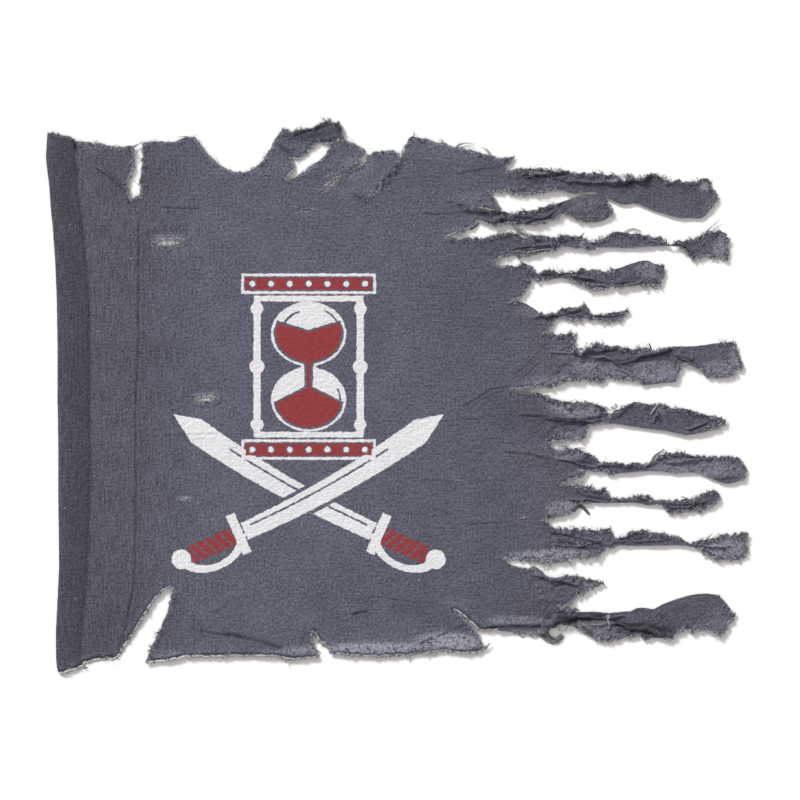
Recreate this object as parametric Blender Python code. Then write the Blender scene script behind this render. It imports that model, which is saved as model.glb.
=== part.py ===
"""A tattered flag, lying face up on a flat surface.

The flag is one piece of loose-woven cloth.  Its hoist edge, on the left, is turned
under as a flat sleeve for a pole.  Its fly, on the right, is torn along the threads
into twelve strips, which have twisted and gathered into soft folds where they lie.

The cloth is worked out where it is still flat and uncut: +X runs from the hoist to
the fly and +Y from the lower edge to the upper one.  Each point of the flat cloth is
then laid down in its folds, and the sheet is thickened about that surface.  Tables
and sizes are in millimetres, with X measured from the hoist.
"""

import math

import bpy
import numpy as np
from mathutils import Vector
from mathutils.geometry import delaunay_2d_cdt

MM = 0.001

# Driving dimensions
CLOTH = 1.2             # thickness of the sheet with its fuzz
TURN_RADIUS = 1.0       # of the turned hoist edge, to the middle of the sheet
HEM_MARGIN = 1.5        # from the hem's raw edge to where the cloth starts down
HEM_STEP = 12.0         # length over which the cloth comes down beside the hem
HEM_ENDS = (10.0, 686.0)    # lowest and highest y of the hem's raw edge
SLIT = 1.0              # width of a tear between two strips, in the flat cloth
OPENING = 26.0          # length over which a tear opens to its full width
LEAST_WIDTH = 2.0       # of a strip's flat cloth

# Folds of the strips
STEEPEST = 1.35         # steepest slope in a fold, in radians
FOLDED_SHARE = 0.596    # width of a fold with that slope, as a share of its cloth
MOST_SHORTENED = 0.2    # least width of a strip as it lies, as a share of its cloth
FOLD_FADE = 16.0        # length over which a fold starts or dies away
LEAST_FOLD = 0.02       # of a fold beyond its ends, where the cloth needs one
NARROWEST_FOLD = 0.01   # as a share of the strip's flat width
WIDEST_FOLD = 0.85
FOLD_MARGIN = 0.08      # from a strip's edge to the middle of a fold, as a share
PRESS = 0.65            # how far the folds stand up: 1 is loose, 0 is ironed flat
LEAN = 0.2              # how far a fold leans to the lower side, for its height
JOINED_SHARE = 0.2      # share of a strip over which its folds die at a joined side
CREASE_FADE = 0.25      # share of a panel crease over which it starts or dies away

# Spacing of the mesh's points
PANEL_GRID = 34.0
STRIP_GRID = 11.0       # least spacing of the sections along a strip
FOLD_POINTS = (-0.5, -0.2, 0.2, 0.5)    # places across a fold, as shares of it
MEASURED_FOLD = 0.05    # least width of a fold with points of its own, as a share
CLOSEST = 2.4           # least distance between points across a strip
FOLD_ROWS = 28          # rows of points along the turned hoist edge
LONGEST_EDGE = 24.0     # longest stretch of the outline without a point
ROOT_GAP = 5.0          # from the deeper of a strip's two tips to its first section
CREASE_GRID = 14.0      # along a crease, which has at most CREASE_ROWS rows
CREASE_ROWS = 8
CREASE_GAP = 6.0        # from a crease's points to other inner points
PANEL_GAP = 15.0        # from the panel's points to other inner points
EDGE_SHARE = 0.6        # of those gaps, kept to the outline
STRIP_EDGE_GAP = 1.2    # from a strip's inner points to the outline
MERGED = 1e-5           # distance at which two points are one
LEAST_AREA = 0.2        # twice the area of the least triangle, in square millimetres

# The hoist: (y, x of the turned edge, width of the hem)
HOIST = (
    (4, 15, 29), (14, 14, 30), (60, 12, 34), (100, 14, 36), (140, 16, 38),
    (225, 15, 41), (292, 15, 43), (353, 14, 42), (420, 14, 43), (481, 13, 43),
    (530, 11, 41), (590, 6, 40), (645, 1, 39), (694, 1, 36),
)

# The edges of the panel, as (x, y) from left to right, each stretch by its name
LOWER_EDGE = {
    "hoist corner": ((15, 4), (38, 10), (50, 18), (80, 22)),
    "long tear": ((91, 24), (105, 47), (122, 75), (145, 106), (158, 116), (162, 112),
                  (157, 88), (149, 68), (133, 33), (129, 21)),
    "first run": ((158, 21), (210, 26), (280, 27), (318, 22), (335, 24)),
    "short tear": ((342, 30), (338, 45), (343, 55), (347, 47), (356, 42), (360, 36)),
    "second run": ((365, 31), (400, 27), (460, 27), (500, 33), (550, 31)),
    "thin tear": ((564, 38), (552, 50), (542, 65), (530, 77), (515, 90), (534, 77),
                  (546, 67), (554, 58)),
}
UPPER_EDGE = {
    "hoist corner": ((1, 694), (20, 691), (38, 686), (60, 680), (98, 677)),
    "long slit": ((116, 680), (111, 664), (110, 645), (105, 630), (103, 624), (108, 611),
                  (118, 615), (121, 640), (123, 665), (122, 680)),
    "first run": ((133, 684), (165, 683), (190, 688)),
    "scoop": ((204, 671), (225, 651), (243, 644), (260, 645), (279, 657), (288, 678)),
    "raised flap": ((301, 698), (340, 701), (363, 711), (376, 706), (380, 688)),
    "second slit": ((362, 679), (343, 679), (326, 664), (315, 661), (312, 643), (306, 636),
                    (320, 640), (344, 657), (358, 670), (378, 684)),
    "middle flap": ((392, 681), (406, 673), (401, 660), (386, 643), (368, 638),
                    (352, 622), (372, 633), (390, 640), (403, 652)),
    "turned flap": ((412, 667), (430, 671), (446, 670)),
    "second run": ((454, 664), (461, 686), (476, 688), (495, 683), (530, 675), (560, 668)),
}

# The tears between the strips, from the lowest to the highest: (x, y) of the tip.
# The first is where the lowest strip leaves the panel's lower edge, and the last is
# where the highest strip leaves its upper edge.
TEARS = (
    (560, 58), (655, 88), (585, 150), (639, 200), (656, 247), (642, 297),
    (597, 367), (636, 439), (597, 481), (567, 529), (510, 562), (567, 620), (590, 664),
)

# The strips, from the lowest to the highest.  "lower" and "upper" are the two edges as
# they lie, as (x, y) from the panel outwards.  Each of "folds" is the line of one soft
# fold, and "gather" is how much wider the flat cloth is than the strip, along a fold.
STRIPS = (
    {"gather": 1.55,
     "lower": ((585, 58), (620, 55), (640, 57), (658, 66), (675, 64), (692, 56), (715, 46),
               (750, 51), (763, 47), (780, 52), (793, 46), (815, 59), (845, 60),
               (862, 53), (871, 66), (880, 76)),
     "upper": ((668, 86), (680, 82), (700, 83), (720, 81), (747, 83), (775, 86), (800, 97),
               (820, 103), (843, 106), (860, 104), (870, 90), (880, 79)),
     "folds": (((630, 66), (655, 78), (685, 75), (720, 74), (745, 79)),
               ((690, 62), (725, 64), (768, 65), (796, 56)))},
    {"gather": 1.3,
     "lower": ((668, 91), (676, 101), (690, 109), (702, 116), (711, 118)),
     "upper": ((592, 143), (605, 138), (625, 139), (640, 129), (680, 128), (700, 123),
               (711, 120)),
     "folds": (((615, 130), (642, 123), (665, 119), (690, 115)),)},
    {"gather": 1.5,
     "lower": ((620, 148), (655, 147), (685, 152), (705, 157), (717, 164), (735, 168),
               (760, 167), (800, 168), (818, 167), (833, 163), (848, 152), (880, 149),
               (890, 148), (896, 168)),
     "upper": ((646, 190), (660, 188), (705, 187), (722, 190), (728, 176), (745, 183),
               (760, 187), (790, 184), (812, 177), (818, 171), (828, 172), (850, 175),
               (880, 182), (896, 182)),
     "folds": (((625, 180), (655, 182), (690, 177), (722, 172)),
               ((640, 166), (680, 165), (712, 170), (750, 174), (800, 175)),
               ((828, 168), (850, 166), (880, 168)))},
    {"gather": 1.5,
     "lower": ((650, 204), (668, 207), (682, 220), (725, 222), (755, 222), (768, 219),
               (785, 219), (795, 209), (820, 210), (840, 212), (853, 219), (860, 227)),
     "upper": ((668, 244), (693, 243), (705, 239), (713, 239), (717, 228), (728, 227),
               (760, 231), (775, 226), (795, 224), (829, 225), (838, 233), (852, 237),
               (860, 231)),
     "folds": (((662, 226), (690, 229), (722, 224), (755, 225), (775, 225)),
               ((786, 216), (820, 217), (852, 227)))},
    {"gather": 1.55,
     "lower": ((668, 251), (684, 254), (697, 263), (725, 258), (750, 261), (770, 263),
               (803, 259), (835, 259), (862, 248), (875, 246), (893, 256)),
     "upper": ((655, 290), (672, 291), (686, 288), (700, 276), (725, 273), (765, 271),
               (786, 284), (815, 285), (845, 281), (882, 280), (893, 265)),
     "folds": (((640, 279), (668, 275), (700, 270), (730, 267), (765, 267)),
               ((785, 268), (820, 273), (858, 270)))},
    {"gather": 1.45,
     "lower": ((652, 301), (670, 302), (687, 306), (700, 323), (725, 323), (760, 318),
               (790, 314), (808, 311), (828, 310), (850, 315), (868, 323)),
     "upper": ((615, 364), (638, 358), (660, 351), (698, 350), (711, 343), (717, 332),
               (735, 342), (750, 350), (785, 348), (800, 342), (820, 341), (858, 332),
               (868, 328)),
     "folds": (((606, 337), (632, 331), (665, 329), (690, 329), (716, 330)),
               ((722, 328), (738, 338), (755, 349)),
               ((772, 320), (784, 344)), ((808, 316), (852, 326)))},
    {"gather": 1.5,
     "lower": ((620, 369), (640, 369), (672, 379), (698, 377), (708, 387), (730, 379),
               (752, 379), (763, 372), (780, 374), (804, 379), (808, 397), (820, 398),
               (836, 392), (845, 384), (865, 383), (880, 388), (890, 398)),
     "upper": ((652, 436), (669, 441), (677, 416), (690, 420), (706, 425), (735, 419),
               (758, 418), (790, 420), (830, 422), (880, 427), (890, 400)),
     "folds": (((640, 414), (672, 413), (700, 415), (728, 417)),
               ((690, 401), (745, 405), (772, 409), (806, 418)),
               ((722, 396), (745, 388), (760, 376)),
               ((796, 411), (820, 406), (840, 392)))},
    {"gather": 1.5,
     "lower": ((645, 445), (651, 457), (680, 456), (698, 457), (712, 455), (731, 452),
               (744, 464)),
     "upper": ((610, 478), (626, 469), (640, 461), (652, 466), (668, 472), (686, 474),
               (692, 462), (705, 462), (733, 467), (744, 467)),
     "folds": (((620, 458), (650, 461), (668, 465), (700, 460), (738, 462)),)},
    {"gather": 1.55,
     "lower": ((605, 484), (616, 497), (628, 509), (642, 506), (668, 507), (688, 496),
               (710, 495), (730, 499), (755, 502), (766, 500), (782, 500), (790, 515)),
     "upper": ((585, 524), (605, 526), (618, 525), (628, 514), (645, 517), (675, 517),
               (700, 520), (710, 516), (725, 520), (755, 530), (770, 531), (790, 523)),
     "folds": (((605, 506), (640, 512), (685, 511), (705, 506)),
               ((700, 501), (735, 503), (768, 508)))},
    {"gather": 1.45,
     "lower": ((575, 532), (590, 537), (605, 538), (620, 540), (650, 544), (675, 549),
               (700, 547), (730, 548), (760, 549), (785, 550), (800, 550), (815, 545),
               (826, 535), (840, 537), (860, 535), (872, 537)),
     "upper": ((525, 559), (550, 560), (575, 563), (597, 567), (609, 557), (618, 562),
               (632, 563), (650, 560), (663, 563), (686, 560), (695, 553), (705, 556),
               (725, 567), (740, 567), (768, 564), (788, 562), (795, 554), (812, 556),
               (835, 562), (858, 568), (872, 567)),
     "folds": (((575, 545), (610, 550), (645, 553), (690, 550)),
               ((745, 552), (772, 556), (800, 552), (828, 543)))},
    {"gather": 1.6,
     "lower": ((530, 568), (545, 573), (556, 583), (567, 581), (590, 578), (620, 578),
               (640, 581), (654, 591), (668, 590), (690, 582), (703, 580), (714, 583),
               (722, 591)),
     "upper": ((571, 611), (583, 592), (600, 593), (625, 597), (640, 601), (665, 609),
               (688, 613), (706, 611), (717, 606), (722, 597)),
     "folds": (((545, 591), (583, 586), (612, 583), (635, 588), (655, 597)),
               ((652, 595), (676, 591), (700, 583)))},
    {"gather": 1.5,
     "lower": ((596, 618), (628, 619), (645, 621), (668, 619), (690, 620), (712, 614),
               (728, 607), (752, 605), (770, 598), (790, 591), (810, 586), (835, 585),
               (848, 594), (858, 607)),
     "upper": ((602, 648), (628, 650), (645, 645), (668, 645), (690, 643), (715, 641),
               (733, 638), (753, 636), (775, 643), (790, 633), (820, 631), (838, 633),
               (850, 624), (858, 613)),
     "folds": (((585, 626), (603, 636), (630, 640), (650, 640), (668, 645)),
               ((640, 632), (690, 628), (718, 628), (746, 629), (778, 642)))},
)
LOWEST_FLAT_EDGE = 0.0       # where the lowest strip's flat cloth ends
HIGHEST_FLAT_EDGE = 694.0    # where the highest strip's flat cloth ends
OUTER_WIDENING = 80.0        # length over which those two strips reach that width

# The panel's main creases: (height, half width, line as (x, y) points)
CREASES = (
    (2.2, 9, ((119, 587), (114, 343), (113, 120), (96, 44))),
    (2.0, 8, ((59, 652), (104, 617))),
    (1.8, 8, ((145, 598), (201, 597))),
    (3.0, 9, ((310, 696), (360, 699))),
    (2.6, 8, ((412, 611), (392, 616))),
    (2.6, 8, ((530, 642), (560, 648), (585, 651))),
    (2.4, 8, ((500, 601), (535, 600))),
    (2.6, 9, ((590, 378), (622, 396), (640, 415))),
    (2.2, 8, ((535, 344), (568, 360))),
    (2.2, 8, ((581, 286), (630, 282))),
    (2.4, 8, ((535, 193), (583, 196))),
    (2.0, 8, ((195, 76), (198, 59), (262, 50))),
    (2.2, 8, ((392, 80), (420, 84))),
    (2.2, 8, ((495, 212), (518, 204))),
)


def smooth(share):
    """Go from 0 to 1 with level ends."""
    share = np.clip(share, 0.0, 1.0)
    return share * share * (3.0 - 2.0 * share)


def edge_at(tip, rows, x):
    """Height of a strip's edge: that of its tear's tip, then along its rows."""
    points = np.array((tip,) + tuple(rows), dtype=float)
    return np.interp(x, points[:, 0], points[:, 1])


def tear_line(number, x):
    """Height of a tear in the flat cloth, where it follows the threads."""
    tip_x, tip_y = TEARS[number]
    limits = {0: LOWEST_FLAT_EDGE, len(TEARS) - 1: HIGHEST_FLAT_EDGE}
    limit = limits.get(number, tip_y)
    return tip_y + (limit - tip_y) * smooth((x - tip_x) / OUTER_WIDENING)


def fold_weights(number, x):
    """How fully each of a strip's folds is there, from 0 to 1, at x."""
    weights = []
    for line in STRIPS[number]["folds"]:
        start, end = line[0][0], line[-1][0]
        fade = min(FOLD_FADE, (end - start) / 2.0)
        weights.append(smooth((x - start) / fade) * smooth((end - x) / fade))
    return np.array(weights)


def strip_section(number, x):
    """Edges of a strip at x: (lower, upper) as it lies, then (lower, upper) when flat."""
    strip = STRIPS[number]
    lower = edge_at(TEARS[number], strip["lower"], x)
    upper = edge_at(TEARS[number + 1], strip["upper"], x)
    lowest = tear_line(number, x)
    highest = tear_line(number + 1, x)
    gather = 1.0 + (strip["gather"] - 1.0) * fold_weights(number, x).max(axis=0)
    wanted = np.maximum(gather * (upper - lower), LEAST_WIDTH)
    lost = np.maximum(highest - lowest - wanted, 0.0) / 2.0 + SLIT / 2.0
    opened_below = smooth((x - TEARS[number][0]) / OPENING)
    opened_above = smooth((x - TEARS[number + 1][0]) / OPENING)
    return lower, upper, lowest + lost * opened_below, highest - lost * opened_above


def folds_across(number, x):
    """Centres and widths of a strip's folds at x, as shares of its flat width."""
    lower, upper, flat_lower, flat_upper = strip_section(number, x)
    shortened = np.clip((upper - lower) / (flat_upper - flat_lower), MOST_SHORTENED, 1.0)
    in_folds = (1.0 - shortened) / (1.0 - FOLDED_SHARE)
    weights = np.maximum(fold_weights(number, x), LEAST_FOLD)
    widths = in_folds * weights / weights.sum(axis=0)
    widths = np.clip(widths, NARROWEST_FOLD, WIDEST_FOLD)
    centres = []
    for line in STRIPS[number]["folds"]:
        points = np.array(line, dtype=float)
        height = np.interp(x, points[:, 0], points[:, 1])
        share = (height - lower) / (upper - lower)
        centres.append(np.clip(share, FOLD_MARGIN, 1.0 - FOLD_MARGIN))
    return np.array(centres), widths


def across_curve(share, centres, widths, angle, steps=72):
    """Way across and height of a strip's folded section, for a share of its length."""
    middles = (np.arange(steps) + 0.5) / steps
    slope = np.zeros((len(share), steps))
    for centre, width in zip(centres, widths):
        turn = (middles - centre[:, None]) / width[:, None] + 0.5
        inside = (turn > 0.0) & (turn < 1.0)
        slope += np.where(inside, angle[:, None] * np.sin(2.0 * math.pi * turn), 0.0)
    slope = np.clip(slope, -STEEPEST, STEEPEST)
    rows = np.arange(len(share))
    place = share * steps
    cell = np.minimum(place.astype(int), steps - 1)
    sums = []
    for part in (np.cos(slope), np.sin(slope)):
        total = np.concatenate((np.zeros((len(share), 1)), np.cumsum(part, axis=1)), axis=1)
        here = total[rows, cell]
        sums.append((here + (total[rows, cell + 1] - here) * (place - cell)) / steps)
        sums.append(total[:, -1] / steps)
    return sums[0] / sums[1], sums[2]


def lay_strip(number, x, y):
    """Lay points of one strip in its folds: their new y and their height."""
    lower, upper, flat_lower, flat_upper = strip_section(number, x)
    flat_width = flat_upper - flat_lower
    share = np.clip((y - flat_lower) / flat_width, 0.0, 1.0)
    centres, widths = folds_across(number, x)
    tips = (TEARS[number][0], TEARS[number + 1][0])
    end = STRIPS[number]["lower"][-1][0]
    angle = STEEPEST * smooth((x - min(tips)) / OPENING) * smooth((end - x) / OPENING)
    across, rise = across_curve(share, centres, widths, angle)
    height = PRESS * flat_width * rise
    # Where a side still joins its neighbour, the folds die away before it.
    below_joined = 1.0 - smooth((x - tips[0]) / OPENING)
    above_joined = 1.0 - smooth((x - tips[1]) / OPENING)
    height *= 1.0 - below_joined * (1.0 - smooth(share / JOINED_SHARE))
    height *= 1.0 - above_joined * (1.0 - smooth((1.0 - share) / JOINED_SHARE))
    height = np.maximum(height, 0.0)
    return lower + (upper - lower) * across - LEAN * height, height


def crease_height(x, y):
    """Height of the panel's creases at flat points."""
    height = np.zeros_like(x)
    for crest, half_width, line in CREASES:
        points = np.array(line, dtype=float)
        total = np.linalg.norm(np.diff(points, axis=0), axis=1).sum()
        run = 0.0
        ridge = np.zeros_like(x)
        for start, end in zip(points[:-1], points[1:]):
            length = np.linalg.norm(end - start)
            way = (end - start) / length
            along = np.clip((x - start[0]) * way[0] + (y - start[1]) * way[1], 0.0, length)
            distance = np.hypot(x - start[0] - along * way[0], y - start[1] - along * way[1])
            place = (run + along) / total
            fade = smooth(place / CREASE_FADE) * smooth((1.0 - place) / CREASE_FADE)
            ridge = np.maximum(ridge, crest * fade * smooth(1.0 - distance / half_width))
            run += length
        height = np.maximum(height, ridge)
    return height


def turn_hem(x, y, height):
    """Turn the cloth left of the hoist's fold under the cloth right of it."""
    rows = np.array(HOIST, dtype=float)
    fold_x = np.interp(y, rows[:, 0], rows[:, 1])
    hem = np.interp(y, rows[:, 0], rows[:, 2])
    from_fold = x - fold_x
    quarter = TURN_RADIUS * math.pi / 2.0
    angle = np.clip(from_fold / TURN_RADIUS, -math.pi / 2.0, math.pi / 2.0)
    beyond = np.maximum(np.abs(from_fold) - quarter, 0.0)
    lifted = TURN_RADIUS * (1.0 + np.sin(angle))
    down = smooth((from_fold - hem - HEM_MARGIN) / HEM_STEP)
    near = from_fold < hem + HEM_MARGIN + HEM_STEP
    new_x = fold_x + TURN_RADIUS * (1.0 - np.cos(angle)) + beyond
    shift = np.maximum(1.0 - from_fold / (hem + HEM_STEP), 0.0)
    new_x = np.where(from_fold > 0.0, x + (new_x - x) * shift, new_x)
    return new_x, np.where(near, lifted * (1.0 - down) + height, height)


def lay_cloth(x, y):
    """Lay flat points down: their x, y and height above the surface."""
    new_y = np.array(y, dtype=float)
    height = crease_height(x, y)
    for number in range(len(STRIPS)):
        start = min(TEARS[number][0], TEARS[number + 1][0])
        inside = (x > start) & (y >= tear_line(number, x)) & (y < tear_line(number + 1, x))
        strip_y, rise = lay_strip(number, x[inside], y[inside])
        new_y[inside] = strip_y
        height[inside] += rise
    new_x, height = turn_hem(x, new_y, height)
    return np.stack((new_x, new_y, height), axis=1)


def stations(number):
    """Sections along a strip: at its edges' points, no closer than STRIP_GRID."""
    strip = STRIPS[number]
    start = max(TEARS[number][0], TEARS[number + 1][0])
    end = strip["lower"][-1][0]
    wanted = sorted({row[0] for row in strip["lower"] + strip["upper"]})
    kept = [start + ROOT_GAP]
    for x in wanted:
        if x - kept[-1] >= STRIP_GRID and end - x >= STRIP_GRID or x == end:
            steps = max(int((x - kept[-1]) // (2.0 * STRIP_GRID)) + 1, 1)
            kept += list(np.linspace(kept[-1], x, steps + 1)[1:])
    return np.array(kept)


def strip_outline(number):
    """A strip's edge in the flat cloth, out along its lower side and back."""
    along = stations(number)
    before = along[0] - EDGE_SHARE * ROOT_GAP
    out = [row[0] for row in STRIPS[number]["lower"] if row[0] < before]
    back = [row[0] for row in STRIPS[number]["upper"] if row[0] < before]
    out = np.array(out + list(along))
    back = np.array(back + list(along))[::-1]
    lower = strip_section(number, out)[2]
    upper = strip_section(number, back)[3]
    tip_x, tip_y = TEARS[number]
    points = [(tip_x, tip_y)] + list(zip(out, lower)) + list(zip(back, upper))
    return points


def flat_outline():
    """The flat cloth's edge, once round and counter-clockwise."""
    rows = np.array(HOIST, dtype=float)
    points = []
    for stretch in LOWER_EDGE.values():
        points += stretch
    for number in range(len(STRIPS)):
        points += strip_outline(number)
    points.append(TEARS[-1])
    top = []
    for stretch in UPPER_EDGE.values():
        top += stretch
    points += top[::-1]
    # The hem's raw edge lies left of the fold while the cloth is flat.
    for y, fold_x, hem in rows[::-1]:
        points.append((fold_x - hem, min(max(y, HEM_ENDS[0]), HEM_ENDS[1])))
    return np.array(points, dtype=float)


def inside_outline(points, outline):
    """Which points lie inside the outline, counted by crossings."""
    ends = np.roll(outline, -1, axis=0)
    x, y = points[:, 0, None], points[:, 1, None]
    spans = (outline[:, 1] > y) != (ends[:, 1] > y)
    drop = np.where(ends[:, 1] == outline[:, 1], 1.0, ends[:, 1] - outline[:, 1])
    cross = outline[:, 0] + (y - outline[:, 1]) * (ends[:, 0] - outline[:, 0]) / drop
    return (np.sum(spans & (x < cross), axis=1) % 2) == 1


def distance_to_outline(points, outline):
    """Distance from each point to the outline."""
    start = outline[None]
    way = np.roll(outline, -1, axis=0)[None] - start
    offset = points[:, None] - start
    along = np.clip((offset * way).sum(2) / np.maximum((way * way).sum(2), 1e-9), 0, 1)
    return np.linalg.norm(offset - along[..., None] * way, axis=2).min(axis=1)


def strip_points():
    """Points inside the strips: a few across each fold, at each section."""
    points = []
    for number in range(len(STRIPS)):
        along = stations(number)[:-1]
        first = min(TEARS[number][0], TEARS[number + 1][0]) + OPENING
        along = np.concatenate((np.arange(first, along[0] - ROOT_GAP, STRIP_GRID), along))
        flat_lower, flat_upper = strip_section(number, along)[2:]
        flat_width = flat_upper - flat_lower
        centres, widths = folds_across(number, along)
        for column, x in enumerate(along):
            shares = [0.0, 1.0]
            for centre, width in zip(centres[:, column], widths[:, column]):
                if width > MEASURED_FOLD:
                    shares += [centre + place * width for place in FOLD_POINTS]
            last = -1.0
            for share in sorted(shares):
                if 0.0 <= share <= 1.0 and (share - last) * flat_width[column] > CLOSEST:
                    points.append((x, flat_lower[column] + flat_width[column] * share))
                    last = share
    return np.array(points)


def crease_points():
    """Points along each crease's crest and along its two feet."""
    points = []
    for _, half_width, line in CREASES:
        corners = np.array(line, dtype=float)
        for start, end in zip(corners[:-1], corners[1:]):
            length = np.linalg.norm(end - start)
            way = (end - start) / length
            side = np.array((-way[1], way[0]))
            step = max(length / CREASE_ROWS, CREASE_GRID)
            for along in np.arange(0.0, length + CLOTH, step):
                for offset in (-half_width, 0.0, half_width):
                    points.append(start + way * along + side * offset)
    return np.array(points)


def fold_lines():
    """Lines of points along the turned edge and along the step beside the hem."""
    quarter = TURN_RADIUS * math.pi / 2.0
    rows = np.array(HOIST, dtype=float)
    heights = np.linspace(rows[0, 0], rows[-1, 0], FOLD_ROWS)
    fold_x = np.interp(heights, rows[:, 0], rows[:, 1])
    hem = np.interp(heights, rows[:, 0], rows[:, 2]) + HEM_MARGIN
    offsets = [-quarter, -quarter / 2.0, 0.0, quarter / 2.0, quarter]
    offsets += [hem, hem + HEM_STEP / 2.0, hem + HEM_STEP]
    return [np.stack((fold_x + offset, heights), axis=1) for offset in offsets]


def panel_points():
    """A staggered grid over the panel, hem included."""
    points = []
    row_gap = PANEL_GRID * math.sqrt(3.0) / 2.0
    farthest = max(tip[0] for tip in TEARS)
    for row, y in enumerate(np.arange(HEM_ENDS[0], HIGHEST_FLAT_EDGE, row_gap)):
        start = PANEL_GRID / 2.0 * (row % 2) - PANEL_GRID
        for x in np.arange(start, farthest, PANEL_GRID):
            points.append((x, y))
    return np.array(points)


def thinned(wanted, kept, gap):
    """Those of the wanted points that keep the gap to all kept ones."""
    apart = np.linalg.norm(wanted[:, None] - kept[None], axis=2).min(axis=1)
    return wanted[apart > gap]


def divided(outline):
    """Put points along the outline's long stretches."""
    points = []
    for start, end in zip(outline, np.roll(outline, -1, axis=0)):
        steps = int(np.linalg.norm(end - start) // LONGEST_EDGE) + 1
        points += [start + (end - start) * step / steps for step in range(steps)]
    return np.array(points)


def flat_triangles():
    """Triangulate the flat cloth: its points and its triangles."""
    outline = divided(flat_outline())
    folds = fold_lines()
    inner = strip_points()
    inner = inner[inside_outline(inner, outline)]
    inner = inner[distance_to_outline(inner, outline) > STRIP_EDGE_GAP]
    fixed = np.concatenate(folds + [inner])
    for wanted, gap in ((crease_points(), CREASE_GAP), (panel_points(), PANEL_GAP)):
        wanted = wanted[inside_outline(wanted, outline)]
        wanted = wanted[distance_to_outline(wanted, outline) > gap * EDGE_SHARE]
        fixed = np.concatenate((fixed, thinned(wanted, fixed, gap)))
    edges = [(row, (row + 1) % len(outline)) for row in range(len(outline))]
    start = len(outline)
    for line in folds:
        edges += [(start + row, start + row + 1) for row in range(len(line) - 1)]
        start += len(line)
    vectors = [Vector(point) for point in np.concatenate((outline, fixed))]
    result = delaunay_2d_cdt(vectors, edges, [], 0, MERGED, False)
    points = np.array([tuple(point) for point in result[0]])
    triangles = np.array([tuple(face) for face in result[2]])
    corners = points[triangles]
    side_a = corners[:, 1] - corners[:, 0]
    side_b = corners[:, 2] - corners[:, 0]
    doubled_area = np.abs(side_a[:, 0] * side_b[:, 1] - side_a[:, 1] * side_b[:, 0])
    kept = inside_outline(corners.mean(axis=1), outline) & (doubled_area > LEAST_AREA)
    used, places = np.unique(triangles[kept], return_inverse=True)
    return points[used], places.reshape(-1, 3)


def point_normals(points, triangles):
    """Mean normal of the triangles round each point."""
    corners = points[triangles]
    faces = np.cross(corners[:, 1] - corners[:, 0], corners[:, 2] - corners[:, 0])
    normals = np.zeros_like(points)
    for corner in range(3):
        np.add.at(normals, triangles[:, corner], faces)
    return normals / np.linalg.norm(normals, axis=1)[:, None]


def border(triangles):
    """Edges with one triangle only, in that triangle's direction."""
    pairs = np.concatenate((triangles[:, (0, 1)], triangles[:, (1, 2)], triangles[:, (2, 0)]))
    known = {tuple(pair) for pair in pairs}
    return [pair for pair in known if (pair[1], pair[0]) not in known]


def cloth_mesh():
    """The whole flag as one closed sheet of constant thickness."""
    flat, triangles = flat_triangles()
    corners = flat[triangles]
    side_a = corners[:, 1] - corners[:, 0]
    side_b = corners[:, 2] - corners[:, 0]
    turned = side_a[:, 0] * side_b[:, 1] < side_a[:, 1] * side_b[:, 0]
    triangles[turned] = triangles[turned][:, ::-1]
    middle = lay_cloth(flat[:, 0], flat[:, 1])
    middle[:, 2] += CLOTH / 2.0
    normals = point_normals(middle, triangles)
    above = middle + normals * CLOTH / 2.0
    below = middle - normals * CLOTH / 2.0
    below[:, 2] = np.maximum(below[:, 2], 0.0)
    above[:, 2] = np.maximum(above[:, 2], 0.0)
    count = len(middle)
    faces = [tuple(triangle) for triangle in triangles]
    faces += [tuple(triangle[::-1] + count) for triangle in triangles]
    for start, end in sorted(border(triangles)):
        faces.append((end, start, start + count))
        faces.append((end, start + count, end + count))
    points = np.concatenate((above, below))
    lowest = points.min(axis=0)
    highest = points.max(axis=0)
    points -= ((lowest[0] + highest[0]) / 2.0, (lowest[1] + highest[1]) / 2.0, lowest[2])
    mesh = bpy.data.meshes.new("flag_cloth")
    mesh.from_pydata([tuple(point) for point in points * MM], [], faces)
    mesh.validate()
    mesh.update()
    return mesh


def cloth_material():
    """Faded slate-grey cotton."""
    material = bpy.data.materials.new("flag_cloth")
    material.use_nodes = True
    shader = material.node_tree.nodes["Principled BSDF"]
    shader.inputs["Base Color"].default_value = (0.10, 0.11, 0.14, 1.0)
    shader.inputs["Roughness"].default_value = 0.92
    shader.inputs["Metallic"].default_value = 0.0
    return material


def main():
    for thing in list(bpy.data.objects):
        bpy.data.objects.remove(thing)
    mesh = cloth_mesh()
    mesh.materials.append(cloth_material())
    flag = bpy.data.objects.new("flag_cloth", mesh)
    bpy.context.scene.collection.objects.link(flag)


main()
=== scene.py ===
# %% [markdown]
# # A tattered flag
# The real thing is one piece of loose-woven grey cotton, 0.90 by 0.71 m.  Its hoist edge is
# turned under as a flat sleeve for a pole, a print is worn into the cloth, and the fly is torn
# along the threads into strips.  This lesson lays that one sheet down in Blender with its tears,
# folds and loose threads, and gives it a woven finish.  Sizes are in millimetres until a mesh is
# made, with X from the hoist and Y from the lower edge.

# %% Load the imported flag
import math

import bpy
import numpy as np
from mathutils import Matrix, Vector
from mathutils.bvhtree import BVHTree
from mathutils.geometry import delaunay_2d_cdt
from mathutils.kdtree import KDTree


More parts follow.
